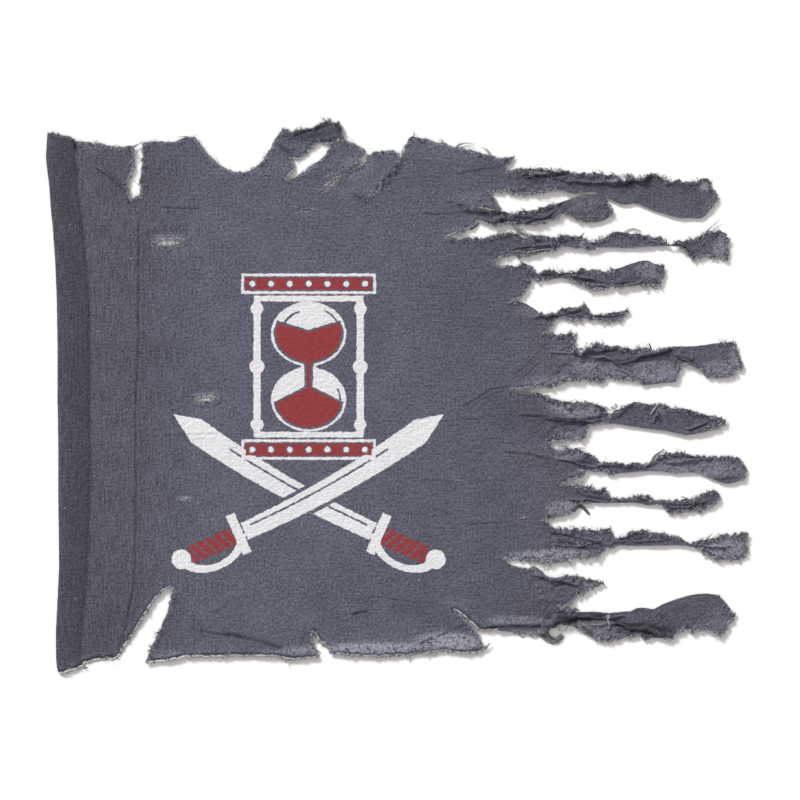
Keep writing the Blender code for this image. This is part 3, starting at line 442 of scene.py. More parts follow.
# %% Creases, placed as the cloth lies
# (depth, half width, darkness, then the line)
CREASES = (
    (0.8, 3, 0.7, (59, 652), (82, 636), (104, 617)), (0.6, 2.4, 0.55, (74, 648), (91, 634), (107, 621)),
    (0.7, 2.6, 0.5, (143, 599), (170, 598), (201, 597)),
    (0.8, 3.2, 0.4, (119, 587), (118, 500), (118, 430), (114, 343)),
    (0.8, 3.2, 0.4, (114, 343), (115, 230), (113, 120), (106, 84), (101, 60), (91, 32)),
    (0.5, 2.4, 0.5, (101, 54), (110, 54)), (0.4, 2.6, 0.25, (132, 510), (132, 577)),
    (0.4, 2.6, 0.2, (125, 305), (175, 308), (223, 310)), (0.4, 2.4, 0.25, (471, 326), (495, 331)),
    (0.5, 2.4, 0.3, (495, 324), (530, 328), (559, 329)),
    (0.4, 2.4, 0.25, (471, 250), (500, 250), (527, 248)), (0.4, 2.4, 0.25, (431, 234), (461, 232)),
    (0.6, 2.6, 0.4, (489, 216), (500, 213), (512, 208), (518, 201)),
    (0.6, 2.4, 0.5, (535, 193), (560, 195), (583, 196)),
    (0.6, 2.6, 0.35, (471, 119), (478, 122), (484, 123)), (0.9, 2.8, 1, (386, 78), (400, 81), (416, 84)),
    (1, 2.8, 1, (521, 60), (532, 65), (543, 65)), (0.5, 2.4, 0.5, (189, 84), (189, 70), (189, 56)),
    (0.7, 2.6, 0.55, (190, 59), (210, 55), (230, 52), (254, 50)),
    (1, 4.4, 0.9, (222, 54), (250, 50), (276, 44), (298, 37), (306, 37)),
    (0.5, 2.2, 0.6, (292, 38), (299, 38), (306, 41)), (0.5, 2.2, 0.45, (202, 80), (214, 82), (226, 84)),
    (0.5, 2.2, 0.6, (189, 351), (205, 350), (220, 352)),
    (0.4, 2.2, 0.8, (193, 535), (197, 535), (201, 535)),
    (1, 2.6, 1, (474, 39), (484, 45), (492, 47.5), (503, 48)),
    (1, 2.6, 1, (494, 48), (508, 54), (519, 56)), (0.5, 2.4, 0.3, (392, 96), (420, 101), (455, 96)),
    (1, 4.2, 0.8, (312, 689), (324, 694), (338, 698), (354, 703), (364, 707)),
    (0.9, 4.6, 0.9, (355, 699), (366, 706), (374, 702), (377, 690)),
    (0.9, 5.2, 0.75, (293, 682), (305, 673), (316, 663)),
    (0.8, 3.2, 0.6, (330, 676), (345, 684), (362, 684), (376, 690)),
    (0.8, 2.8, 0.7, (410, 610), (400, 611), (392, 616), (388, 622)),
    (0.9, 3, 0.7, (452, 662), (445, 650), (432, 635), (414, 613)),
    (0.6, 2.8, 0.4, (520, 640), (545, 645), (560, 648), (587, 651)),
    (0.8, 2.8, 0.6, (508, 604), (518, 606), (529, 602), (536, 597)),
    (1.1, 4.6, 1, (530, 594), (550, 592), (566, 591), (590, 590)),
    (0.7, 2.8, 0.5, (477, 591), (500, 590), (525, 591)),
    (0.6, 2.2, 0.45, (591, 381), (602, 388), (612, 396), (624, 409), (633, 418), (646, 431)),
    (0.6, 2.2, 0.45, (598, 373), (608, 381), (618, 388), (624, 395), (630, 404)),
    (0.9, 3.2, 0.9, (101, 58), (98, 45), (92, 34)),
    (0.5, 2.4, 0.9, (44, 17), (55, 22), (68, 25), (80, 26), (92, 28)),
    (0.7, 2.8, 0.4, (528, 342), (545, 351), (568, 366), (598, 371)),
    (0.6, 2.6, 0.35, (545, 347), (565, 358), (590, 366)),
    (0.8, 2.8, 0.7, (581, 286), (600, 285), (618, 283), (635, 279), (649, 277)),
    (0.9, 2.8, 0.85, (649, 277), (668, 274), (686, 273), (702, 271)),
    (0.9, 3, 0.9, (600, 333), (630, 332), (650, 330), (672, 328), (695, 329), (716, 332)),
    (0.9, 3, 0.95, (733, 336), (742, 343), (750, 350)),
    (0.8, 2.8, 0.8, (768, 331), (775, 336), (782, 345)),
    (0.8, 2.8, 0.7, (818, 312), (836, 319), (852, 327)),
    (0.7, 2.6, 0.5, (726, 328), (740, 334), (752, 333)),
    (0.9, 3.2, 0.9, (706, 418), (716, 416), (730, 417)),
    (0.8, 3, 0.7, (735, 404), (752, 406), (772, 409), (790, 414), (806, 420)),
    (0.7, 2.8, 0.55, (706, 404), (730, 402), (760, 403), (790, 405), (806, 402)),
    (0.6, 2.8, 0.35, (722, 398), (735, 394), (747, 387), (757, 377)),
    (0.8, 2.8, 0.7, (802, 409), (815, 407), (828, 400), (838, 394)),
    (0.8, 2.8, 0.8, (712, 268), (730, 268), (755, 267)),
    (0.8, 2.8, 0.8, (779, 275), (800, 280), (842, 280)),
    (0.7, 2.8, 0.6, (735, 262), (760, 266), (782, 270)),
    (0.8, 2.8, 0.75, (828, 250), (860, 251), (888, 255)),
    (0.8, 3, 0.85, (752, 222), (762, 225), (774, 226)),
    (0.7, 2.6, 0.7, (672, 237), (690, 229), (712, 226), (740, 227)),
    (0.7, 2.6, 0.65, (790, 220), (815, 218), (846, 222)),
    (0.7, 2.8, 0.6, (640, 184), (665, 180), (690, 176)),
    (0.8, 2.8, 0.75, (650, 173), (668, 169), (690, 169), (712, 171)),
    (0.6, 2.4, 0.6, (680, 168), (694, 163), (706, 161)),
    (0.7, 2.8, 0.7, (728, 172), (745, 178), (762, 184)),
    (0.8, 2.8, 0.85, (832, 168), (842, 163), (850, 153)),
    (0.5, 2.6, 0.3, (648, 123), (666, 119), (680, 112)),
    (0.9, 3.8, 0.95, (559, 61), (579, 63), (601, 64), (623, 63), (645, 64)),
    (1.1, 7.4, 1, (648, 77), (668, 74), (694, 73), (716, 76)),
    (1.1, 5.6, 1, (722, 68), (742, 64), (760, 64), (776, 62), (796, 54)),
    (0.9, 3.4, 1, (742, 57), (755, 60), (768, 58)), (0.8, 2.8, 0.8, (782, 66), (796, 58), (806, 53)),
    (0.7, 2.6, 0.6, (776, 84), (790, 74), (800, 64)),
    (0.9, 3.2, 0.85, (600, 632), (606, 638), (612, 640), (630, 640), (636, 638)),
    (1, 4, 1, (632, 640), (646, 641), (658, 641), (668, 645)),
    (0.8, 2.8, 0.7, (618, 648), (612, 638), (622, 630), (640, 627)),
    (0.9, 3.2, 0.95, (718, 624), (734, 626), (746, 630), (755, 636)),
    (0.8, 3, 0.85, (752, 634), (765, 640), (778, 643)),
    (0.8, 2.8, 0.7, (762, 630), (775, 638), (790, 636)),
    (0.9, 3.4, 0.95, (590, 587), (612, 585), (632, 584), (650, 588)),
    (0.7, 2.8, 0.6, (632, 594), (650, 599), (664, 606)),
    (0.8, 2.8, 0.8, (607, 560), (618, 556), (634, 555), (648, 556)),
    (0.8, 2.8, 0.75, (650, 553), (662, 554), (673, 557)),
    (0.7, 2.6, 0.6, (692, 555), (700, 551), (712, 552)),
    (0.7, 2.6, 0.6, (768, 552), (775, 557), (776, 562)),
    (0.9, 3, 0.9, (808, 551), (815, 549), (822, 543), (826, 537)),
    (0.8, 2.8, 0.7, (628, 512), (650, 512), (668, 514), (690, 516)),
    (0.9, 3, 0.85, (668, 509), (682, 506), (700, 505), (716, 501)),
    (0.8, 2.8, 0.85, (715, 500), (732, 501), (748, 502)),
    (0.8, 2.8, 0.85, (640, 462), (652, 459), (668, 464), (690, 467)),
    (0.8, 2.8, 0.8, (700, 459), (712, 459), (724, 459)),
    (0.8, 2.4, 0.9, (597, 546), (610, 541), (630, 546), (652, 549)),
    (0.6, 2, 0.9, (34, 690), (37, 681), (38, 671)), (0.6, 2.4, 0.7, (372, 640), (381, 644), (390, 649)),
    (0.5, 2.2, 0.6, (345, 614), (352, 620), (360, 627)),
    (0.7, 2.6, 0.6, (606, 503), (616, 498), (630, 499)),
)
print("creases:", len(CREASES))

# %% From the creases to height and darkness
BANK = 2.6  # how much wider a crease's bank is than its valley
BANK_RISE, VALLEY_DROP = 1.5, 2.3  # of a crease, for its depth
CREASE_NEAR = 12.0  # farther from its box a crease does nothing
CREASE_FADE = 9.0  # most length over which a crease dies away


def beside_line(x, y, line):
    """From points to a line: distance, how far along, its length, and side (right is +)."""
    points = np.array(line, dtype=float)
    distance, reached, side = np.full(len(x), 1e9), np.zeros(len(x)), np.zeros(len(x))
    run = 0.0
    for start, end in zip(points[:-1], points[1:]):
        length = np.linalg.norm(end - start)
        way = (end - start) / length
        off_x, off_y = x - start[0], y - start[1]
        along = np.clip(off_x * way[0] + off_y * way[1], 0.0, length)
        here = np.hypot(off_x - along * way[0], off_y - along * way[1])
        nearer = here < distance
        reached = np.where(nearer, run + along, reached)
        side = np.where(nearer, off_x * way[1] - off_y * way[0], side)
        distance = np.where(nearer, here, distance)
        run += length
    return distance, reached, run, side


def crease_field(x, y):
    """Height to add for the creases where points lie, and how dark they are."""
    valley, bank, dark = np.zeros_like(x), np.zeros_like(x), np.zeros_like(x)
    for depth, half_width, darkness, *line in CREASES:
        low, high = np.min(line, axis=0) - CREASE_NEAR, np.max(line, axis=0) + CREASE_NEAR
        near = (x > low[0]) & (x < high[0]) & (y > low[1]) & (y < high[1])
        if not near.any():
            continue
        best, reached, total, _ = beside_line(x[near], y[near], line)
        strength = within(reached, 0.0, total, min(CREASE_FADE, total / 2.2))
        strength = strength * (0.75 + 0.25 * drift(x[near], y[near], 7.0, 50))
        reach = smooth(1.0 - best / half_width) * strength
        wide = smooth(1.0 - best / (BANK * half_width)) * strength
        shade = darkness * (1.15 * reach ** 1.3 + 0.25 * wide)
        for field, here in ((valley, depth * reach), (bank, depth * wide), (dark, shade)):
            field[near] = np.maximum(field[near], here)
    return BANK_RISE * bank - VALLEY_DROP * valley, dark


print("in a crease:", *crease_field(np.array((250.0,)), np.array((50.0,))))

# %% [markdown]
# ## The hem
# The hoist edge is turned under and pressed flat as a pole sleeve: the cloth left of the fold
# line goes round a small radius and comes back beneath.  It is the same sheet and not a second
# piece, so the flat cloth reaches further left than the flag does.

# %% Turn the hoist under
TURN_RADIUS = 0.9  # of the turned hoist edge
HEM_STEP = 8.5  # width over which the cloth comes down beside the hem
HEM_MARGIN = 6.0  # how far inside the hem's raw edge that starts
TURN_SPREAD = 12.0  # how far beyond the hem the turn draws cloth in
hoist_rows = np.array(HOIST, dtype=float)


def hoist_at(y):
    """The fold's x and the hem's width at a height."""
    return [np.interp(y, hoist_rows[:, 0], hoist_rows[:, column]) for column in (1, 2)]


def turn_hem(x, y):
    """Where flat points lie across the hoist, and how high the turn puts them."""
    fold_x, hem = hoist_at(y)
    from_fold = x - fold_x
    quarter = TURN_RADIUS * math.pi / 2.0
    angle = np.clip(from_fold / TURN_RADIUS, -math.pi / 2.0, math.pi / 2.0)
    beyond = np.maximum(np.abs(from_fold) - quarter, 0.0)
    new_x = fold_x + TURN_RADIUS * (1.0 - np.cos(angle)) + beyond
    shift = np.maximum(1.0 - from_fold / (hem + TURN_SPREAD), 0.0)
    new_x = np.where(from_fold > 0.0, x + (new_x - x) * shift, new_x)
    lifted = TURN_RADIUS * (1.0 + np.sin(angle))
    return new_x, lifted * (1.0 - smooth((from_fold - hem + HEM_MARGIN) / HEM_STEP))


print("hem:", hoist_rows[:, 2].min(), "to", hoist_rows[:, 2].max(), "mm wide")

# %% [markdown]
# ## One function lays every point
# Everything comes together here: strip folds, hem, creases, the slow waves of a cloth that was
# thrown down, and the lift of its torn edges, which throws the soft shadow round the flag.  A few
# places lie pressed to the floor, and one flap lies on its neighbour.

# %% Holes, pressed places and the flap that laps over
# Worn-through places: (middle x, y, half length, half height, tilt in degrees)
HOLES = (
    (155.5, 554.6, 21, 4.2, 4), (204.5, 354, 16, 3.1, 3), (367.5, 632, 17, 2.7, 34),
    (557, 596, 13.5, 1.2, -3),
)
# Places that lie close to the floor: (x, y, half length, half height)
PRESSED = (
    (155, 555, 29, 12), (204, 354, 24, 11), (367, 632, 25, 11), (328, 672, 40, 18), (560, 588, 26, 8),
    (656, 304, 22, 7), (34, 8, 60, 18), (98, 44, 26, 34),
)
# The flap that lies on its neighbour: its raw edge, its move and its width
FLAP_EDGE = ((452, 664), (446, 652), (438, 642), (429, 632), (420, 622), (411, 611))
FLAP_MOVE, FLAP_WIDTH = (3.2, -2.2, 1.7), 26.0
SHORT_TEAR = (342, 46, 16, 16)  # the short tear of the lower edge, as an oval
print("holes and pressed places:", len(HOLES), len(PRESSED))

# %% Lay flat points down
REST = 2.8  # mean height of the cloth over the floor
CURL_WIDTH = 9.0  # how far from a torn edge its lift reaches
LOWER_BAND = 95.0  # below this y the nearest edge is the lower one
ROLL_HEIGHT = 2.6  # of the soft bank behind the lower edge
PRESSING = 1.5  # how far a pressed place is lowered
LEAST_HEIGHT = 0.45  # of the cloth over the floor


def lower_bank(x, y, edge):
    """The soft bank behind the lower edge, from 0 to 1."""
    along = smooth((x - 170.0) / 60.0) * smooth((600.0 - x) / 40.0)
    inward = edge * (y < LOWER_BAND)
    roll = smooth(inward / 6.0) * (1.0 - smooth((inward - 7.0) / 22.0))
    return along * (1.0 - spot(x, y, SHORT_TEAR, 1.4)) * roll


def lay_cloth(x, y, edge):
    """Lay flat points down, given their distance to the torn edge: (n, 3) and darkness."""
    new_y, folds, crumpled = np.array(y, dtype=float), np.zeros_like(x), np.zeros_like(x)
    for number, root, inside in strip_parts(x, y):
        new_y[inside], folds[inside] = lay_strip(number, x[inside], y[inside])
        most = fold_weights(number, x[inside]).max(axis=0)
        crumpled[inside] = smooth((x[inside] - root) / 60.0) * (0.3 + 0.7 * most)
    new_x, hem = turn_hem(x, new_y)
    height, dark = crease_field(new_x, new_y)
    waves = 0.7 * drift(x, y, 75.0, 60) + 0.35 * drift(x, y, 31.0, 61)
    crinkles = 0.8 * drift(x, 2.0 * y, 14.0, 62) + 0.7 * drift(1.4 * x, 1.8 * y, 7.5, 63)
    crinkles = crinkles + 0.3 * drift(x, y, 3.6, 65)
    lift = 1.0 - smooth(edge / CURL_WIDTH)
    lift = lift * (0.8 + 0.6 * drift(new_x, new_y, 20.0, 64))
    upper_edge = smooth((y - 585.0) / 20.0) * smooth((610.0 - x) / 15.0)
    lift = lift * (1.0 - 0.65 * upper_edge)
    free = smooth((x - hoist_at(y)[0] - 60.0) / 60.0)
    height = height + REST + free * waves + crumpled * crinkles + lift * free
    height = height + ROLL_HEIGHT * lower_bank(new_x, new_y, edge)
    for oval in PRESSED:
        height = height - PRESSING * spot(x, y, oval, 1.7)
    distance, reached, total, side = beside_line(new_x, new_y, FLAP_EDGE)
    part = np.where(side > 0.0, 1.0 - smooth(distance / FLAP_WIDTH), 0.0)
    part = part * smooth(1.0 - reached / total)
    new_x, new_y, height = (value + move * part for value, move in
                            zip((new_x, new_y, height), FLAP_MOVE))
    under = x < hoist_at(y)[0]
    height = np.where(under, 0.35 + 0.4 * hem, np.maximum(height + folds + hem, LEAST_HEIGHT))
    return np.stack((new_x, new_y, height), axis=1), dark


print("a calm place lies at", *lay_cloth(*np.array(((300.0,), (300.0,), (30.0,))))[0])

# %% [markdown]
# ## The cut of the flat cloth
# The mesh is made while the cloth is flat, where it is a plain shape with a ragged outline and a
# few holes.  The outline is walked once round, counter-clockwise, and each point notes whether
# the edge is torn there.  The lower edges get a thin frayed lip.

# %% The outline, with a ragged wobble
EDGE_STEP = 1.3  # between points along the outline
LIP = 0.9  # frayed rim beyond the lower edges
WOBBLE = 1.1  # of the panel's torn edges
# Holes in strips, as they lie: (strip, and then as for HOLES)
STRIP_HOLES = (
    (5, 785, 340, 8.5, 2.3, 48), (0, 756, 53.5, 4, 1.3, 10), (6, 705.5, 386.5, 7, 1.8, -46),
)


def divided(points, step):
    """Points along an open line, no further apart than the step."""
    points = np.array(points, dtype=float)
    rows = [points[:1]]
    for start, end in zip(points[:-1], points[1:]):
        steps = max(int(math.ceil(np.linalg.norm(end - start) / step)), 1)
        rows.append(start + (end - start) * np.arange(1, steps + 1)[:, None] / steps)
    return np.concatenate(rows)


def wobbled(points, amount):
    """Points moved by a soft random field, which never lets edges cross."""
    steps, fine_steps = (np.stack([drift(*points.T, size, seed) for seed in seeds], axis=1)
                         for size, seeds in ((4.2, (70, 71)), (1.9, (73, 74))))
    return points + amount * (steps + 0.35 * fine_steps)


def strip_outline(number):
    """A strip's edge in the flat cloth, out and back, and which of it is torn."""
    end = STRIPS[number]["lower"][-1][0]
    sides, torn = [], []
    for side, tip in (("lower", TEARS[number]), ("upper", TEARS[number + 1])):
        x = np.arange(tip[0] + EDGE_STEP, end + 0.01, EDGE_STEP)
        y = strip_section(number, x)[2 if side == "lower" else 3]
        sides.append(np.stack((x, y), axis=1))
        torn.append(1.0 - is_turned(number, side, x))
    last = divided((sides[0][-1], sides[1][-1]), EDGE_STEP)[1:-1]
    last[:, 0] += WOBBLE * drift(last[:, 1], last[:, 1] * 0, 2.2, 72 + number)
    return (np.concatenate((sides[0], last, sides[1][::-1])),
            np.concatenate((torn[0], np.ones(len(last)), torn[1][::-1])))


def flat_outline():
    """The flat cloth's edge, counter-clockwise, and which of it is torn."""
    lower, upper = (divided([point for stretch in edge.values() for point in stretch],
                            EDGE_STEP) for edge in (LOWER_EDGE, UPPER_EDGE))
    lower = wobbled(lower, WOBBLE)
    way = unit(np.gradient(lower, axis=0))
    thin_tear = (lower[:, 0] > 505.0) & (lower[:, 1] > 35.0)
    down = LIP * np.maximum(way[:, :1], 0.0) * ~thin_tear[:, None]
    parts = [lower + down * np.stack((way[:, 1], -way[:, 0]), axis=1)]
    torn = [np.ones(len(lower))]
    for number in range(len(STRIPS)):
        edge, edge_torn = strip_outline(number)
        parts += [np.array([TEARS[number]], dtype=float), edge]
        torn += [np.ones(1), edge_torn]
    parts += [np.array([TEARS[-1]], dtype=float), wobbled(upper[::-1], WOBBLE)]
    rows = hoist_rows[::-1]
    raw_edge = np.stack((rows[:, 1] - rows[:, 2], np.clip(rows[:, 0], *HEM_ENDS)), axis=1)
    parts.append(divided(raw_edge, 4.0))
    torn += [np.ones(1 + len(upper)), np.zeros(len(parts[-1]))]
    return np.concatenate(parts), np.concatenate(torn)


outline, torn = flat_outline()
print("outline:", len(outline), "points")

# %% [markdown]
# ## Holes
# A hole is a pointed oval with a ragged wobble.  One in a strip is known by where it shows once
# the strip lies folded.  The way back has no formula, so a row of flat places is tried and the
# one that lands nearest is kept.

# %% Outlines of the holes
def hole_outline(middle_x, middle_y, half_length, half_height, tilt):
    """A pointed oval with a ragged wobble."""
    turn = np.arange(0.0, 2.0 * math.pi, EDGE_STEP / half_length)
    x = half_length * np.cos(turn)
    y = half_height * np.sin(turn) * np.abs(np.sin(turn)) ** 0.5
    angle = math.radians(tilt)
    points = np.stack((x * math.cos(angle) - y * math.sin(angle) + middle_x,
                       x * math.sin(angle) + y * math.cos(angle) + middle_y), axis=1)
    return wobbled(points, 0.7 * min(half_height / 3.0, 1.0))


def strip_hole_outline(number, *oval):
    """A strip's hole in the flat cloth, from how it lies."""
    points = hole_outline(*oval)
    for row, (x, wanted) in enumerate(points):
        low, high = strip_section(number, np.array([x]))[2:]
        tries = np.linspace(low[0], high[0], 120)
        lies, _ = lay_strip(number, np.full(120, x), tries)
        points[row, 1] = tries[np.argmin(np.abs(lies - wanted))]
    return points


loops = [outline] + [hole_outline(*hole) for hole in HOLES]
loops += [strip_hole_outline(*hole) for hole in STRIP_HOLES]
loop_starts = np.concatenate(loops)
loop_ends = np.concatenate([np.roll(loop, -1, axis=0) for loop in loops])
print("loops:", len(loops), "with", len(loop_starts), "points")

# %% [markdown]
# ## Filling the outline
# Points lie close together where the cloth folds or creases, and further apart over the calm
# panel.  A point is inside the cloth where its row has crossed the outline an odd number of
# times.  That is quick, and the holes need no extra care.

# %% Points inside the cloth
PANEL_GRID = 4.2  # between points over the panel
STRIP_GRID = 1.6  # between points over the strips
CREASE_SHARES = (-1.6, -0.9, -0.45, 0.0, 0.45, 0.9, 1.6)  # rows beside a crease
HEM_SHARES = (-0.95, -0.76, -0.6, -0.42, -0.25, -0.08, 0.1, 0.3)  # and in the step beside the hem


def inside_cloth(points):
    """Which points lie inside the outline and outside the holes."""
    result = np.zeros(len(points), dtype=bool)
    for y in np.unique(points[:, 1]):
        row = points[:, 1] == y
        spans = (loop_starts[:, 1] > y) != (loop_ends[:, 1] > y)
        start, end = loop_starts[spans], loop_ends[spans]
        share = (y - start[:, 1]) / (end[:, 1] - start[:, 1])
        crossings = np.sort(start[:, 0] + share * (end[:, 0] - start[:, 0]))
        result[row] = np.searchsorted(crossings, points[row, 0]) % 2 == 1
    return result


def nearest(points, others):
    """Each point's distance to the nearest of the others, and that one's row."""
    tree = KDTree(len(others))
    for row, (x, y) in enumerate(others):
        tree.insert((x, y, 0.0), row)
    tree.balance()
    found = [tree.find((x, y, 0.0)) for x, y in points]
    return np.array([hit[2] for hit in found]), np.array([hit[1] for hit in found])


def away_from(points, others, gap):
    """Those points that keep the gap to all the others."""
    return points[nearest(points, others)[0] > gap]


def staggered(low, high, gap):
    """Rows of points in a triangle pattern between two corners."""
    rows = []
    for row, y in enumerate(np.arange(low[1], high[1], gap * math.sqrt(3.0) / 2.0)):
        x = np.arange(low[0] + gap / 2.0 * (row % 2), high[0], gap)
        rows.append(np.stack((x, np.full(len(x), y)), axis=1))
    return np.concatenate(rows)


def in_a_strip(points):
    """Which flat points belong to a strip."""
    return np.any([inside for _, _, inside in strip_parts(*points.T)], axis=0)


def crease_points():
    """Rows of points along the panel's creases, one for each square of 0.9."""
    rows = []
    for _, half_width, _, *line in CREASES:
        middle = divided(line, 2.0)
        way = unit(np.gradient(middle, axis=0))
        side = np.stack((-way[:, 1], way[:, 0]), axis=1)
        rows += [middle + side * share * half_width for share in CREASE_SHARES]
    rows = np.round(np.concatenate(rows), 1)
    rows = rows[~in_a_strip(rows)]
    squares = np.floor(rows / 0.9).astype(int)
    return rows[np.unique(squares, axis=0, return_index=True)[1]]


def hem_points():
    """Lines of points along the turned hoist and the step beside its hem."""
    quarter = TURN_RADIUS * math.pi / 2.0
    heights = np.arange(hoist_rows[0, 0] + 1.0, hoist_rows[-1, 0] - 0.5, 3.5)
    fold_x, hem = hoist_at(heights)
    lines = [fold_x + quarter * share for share in (-1.0, -0.5, 0.0, 0.5, 1.0)]
    lines += [fold_x + hem + HEM_STEP * share for share in HEM_SHARES]
    return np.concatenate([np.stack((x, heights), axis=1) for x in lines])


fixed = np.concatenate((away_from(hem_points(), loop_starts, 1.0), crease_points()))
fixed = away_from(fixed, loop_starts, 0.7)
fine = staggered((500.0, -2.0), (900.0, 698.0), STRIP_GRID)
coarse = staggered((-45.0, 0.0), (700.0, 715.0), PANEL_GRID)
fine, coarse = fine[in_a_strip(fine)], coarse[~in_a_strip(coarse)]
fine = away_from(fine[inside_cloth(fine)], loop_starts, 0.8)
coarse = away_from(coarse[inside_cloth(coarse)], loop_starts, 1.6)
coarse = away_from(coarse, fixed, 1.9)
fixed = fixed[inside_cloth(fixed)]
print("fixed, fine and coarse points:", len(fixed), len(fine), len(coarse))

# %% [markdown]
# ## Triangles of the flat cloth
# A constrained Delaunay triangulation joins the points and keeps every edge of the outline.  It
# also fills the bays and holes.  Only a triangle with all corners on the outline can be such a
# filling, so only its middle is tested.

# %% Join the points
edges, first = [], 0
for loop in loops:
    edges += [(first + row, first + (row + 1) % len(loop)) for row in range(len(loop))]
    first += len(loop)
everything = np.concatenate((loop_starts, fixed, fine, coarse))
result = delaunay_2d_cdt([Vector(point) for point in everything], edges, [], 0, 1e-4, True)
flat = np.array([tuple(point) for point in result[0]])
triangles = np.array([tuple(face) for face in result[2]])
on_edge = np.array([not ids or min(ids) < first for ids in result[3]])
unsure = on_edge[triangles].all(axis=1)
keep = ~unsure
keep[unsure] = inside_cloth(flat[triangles[unsure]].mean(axis=1))
triangles = triangles[keep]
side_a, side_b = (flat[triangles[:, corner]] - flat[triangles[:, 0]] for corner in (1, 2))
doubled = side_a[:, 0] * side_b[:, 1] - side_a[:, 1] * side_b[:, 0]
triangles[doubled < 0.0] = triangles[doubled < 0.0][:, ::-1]
triangles = triangles[np.abs(doubled) > 1e-3]
used, places = np.unique(triangles, return_inverse=True)
flat, triangles = flat[used], places.reshape(-1, 3)

# %% [markdown]
# ## How worn, how dark
# Old cotton frays in places and fades in others.  Frayed places are listed ovals, and the tone drifts
# slowly from hoist to fly; a few patches add painted shade over folds and one adds painted light.  Two
# layers let less light through, so the hem is darker, with a crisp step at its raw edge, a painted
# highlight on its fold and a faint line of painted shade beside the step.

# %% Frayed places and changes of tone
# Frayed, thin places as the cloth lies: (x, y, half length, half height, strength)
WORN = (
    (618, 646, 26, 5, 0.7), (724, 634, 6, 6, 0.7), (842, 629, 9, 8, 0.8), (658, 430, 18, 10, 0.3),
    (720, 388, 32, 11, 0.6), (780, 391, 30, 15, 0.65), (884, 408, 11, 20, 0.6), (862, 394, 26, 10, 0.6),
    (648, 378, 46, 7, 0.45), (690, 396, 20, 9, 0.6), (680, 345, 36, 13, 0.75), (664, 311, 26, 8, 0.45),
    (650, 153, 56, 9, 0.8), (868, 164, 26, 15, 0.7), (800, 345, 14, 5, 0.5), (668, 283, 22, 6, 0.5),
    (694, 264, 14, 5, 0.6), (425, 34, 104, 9, 0.9), (515, 44, 40, 12, 0.95), (60, 676, 14, 8, 0.4),
    (312, 31, 44, 3.6, 0.6), (341, 52, 5, 7, 0.9), (600, 72, 36, 6, 0.6), (606, 54, 36, 5, 0.6),
    (248, 645, 40, 5, 0.35), (664, 54, 40, 9, 0.7), (700, 60, 26, 14, 0.6), (865, 545, 14, 18, 0.7),
    (690, 557, 12, 7, 0.7), (775, 520, 22, 10, 0.6), (612, 466, 18, 7, 0.4), (724, 462, 22, 7, 0.4),
    (662, 214, 22, 11, 0.65), (700, 122, 16, 7, 0.7), (865, 222, 10, 14, 0.6), (800, 225, 26, 6, 0.5),
    (620, 284, 40, 9, 0.25), (832, 266, 58, 12, 0.6), (540, 566, 26, 9, 0.4), (548, 612, 30, 8, 0.4),
    (590, 608, 16, 7, 0.5), (690, 605, 20, 10, 0.4), (338, 700, 30, 8, 0.3), (400, 655, 22, 14, 0.4),
    (380, 640, 26, 6, 0.5), (350, 590, 26, 5, 0.3), (155, 560, 20, 5, 0.7), (204, 360, 16, 3, 0.9),
    (177, 227, 9, 4, 0.7), (560, 606, 22, 6, 0.4), (150, 30, 22, 6, 0.4), (858, 72, 16, 14, 0.4),
)
# Slow changes of tone from hoist to fly: (x, tone)
TONES = (
    (0, 0.93), (52, 0.92), (62, 0.9), (110, 0.9), (150, 0.95), (200, 1.08), (330, 1.1), (470, 1.04),
    (560, 0.97), (640, 0.98), (760, 0.93), (900, 1),
)
# Soft patches: (x, y, half length, half height, change of tone).  Most are the cloth's own uneven tone,
# but the darkening at (686, 74) and (765, 60) on the lowest strip and at (338, 695) on the raised flap is
# painted shade of folds and crumples, and the lightening at (676, 412) is painted light over the shadow
# side of a strip fold.
TONE_AND_SHADE_PATCHES = (
    (490, 144, 36, 13, -0.13), (478, 86, 38, 13, -0.12), (150, 640, 40, 26, -0.06),
    (110, 500, 30, 60, -0.04), (315, 520, 60, 50, 0.05), (560, 560, 40, 20, -0.06),
    (600, 335, 40, 20, -0.12), (470, 636, 40, 18, -0.05), (540, 640, 40, 14, 0.04),
    (395, 640, 26, 12, 0.08), (338, 695, 36, 11, -0.38), (60, 600, 30, 50, 0.04),
    (520, 480, 50, 40, -0.04), (250, 90, 70, 30, 0.05), (450, 50, 60, 18, 0.06), (686, 74, 44, 7, -0.4),
    (765, 60, 36, 7, -0.4), (525, 674, 64, 13, 0.2), (676, 412, 26, 6, 0.4), (694, 264, 18, 5, 0.3),
    (692, 178, 20, 9, 0.2), (640, 120, 40, 14, 0.06), (668, 388, 36, 16, 0.1),
)
HEM_TONE = 0.585  # two layers of cloth look darker than one


def worn_at(x, y):
    """How frayed the cloth is, from 0 to 1, at points as they lie."""
    return np.max([strength * spot(x, y, oval, 1.6) for *oval, strength in WORN], axis=0)


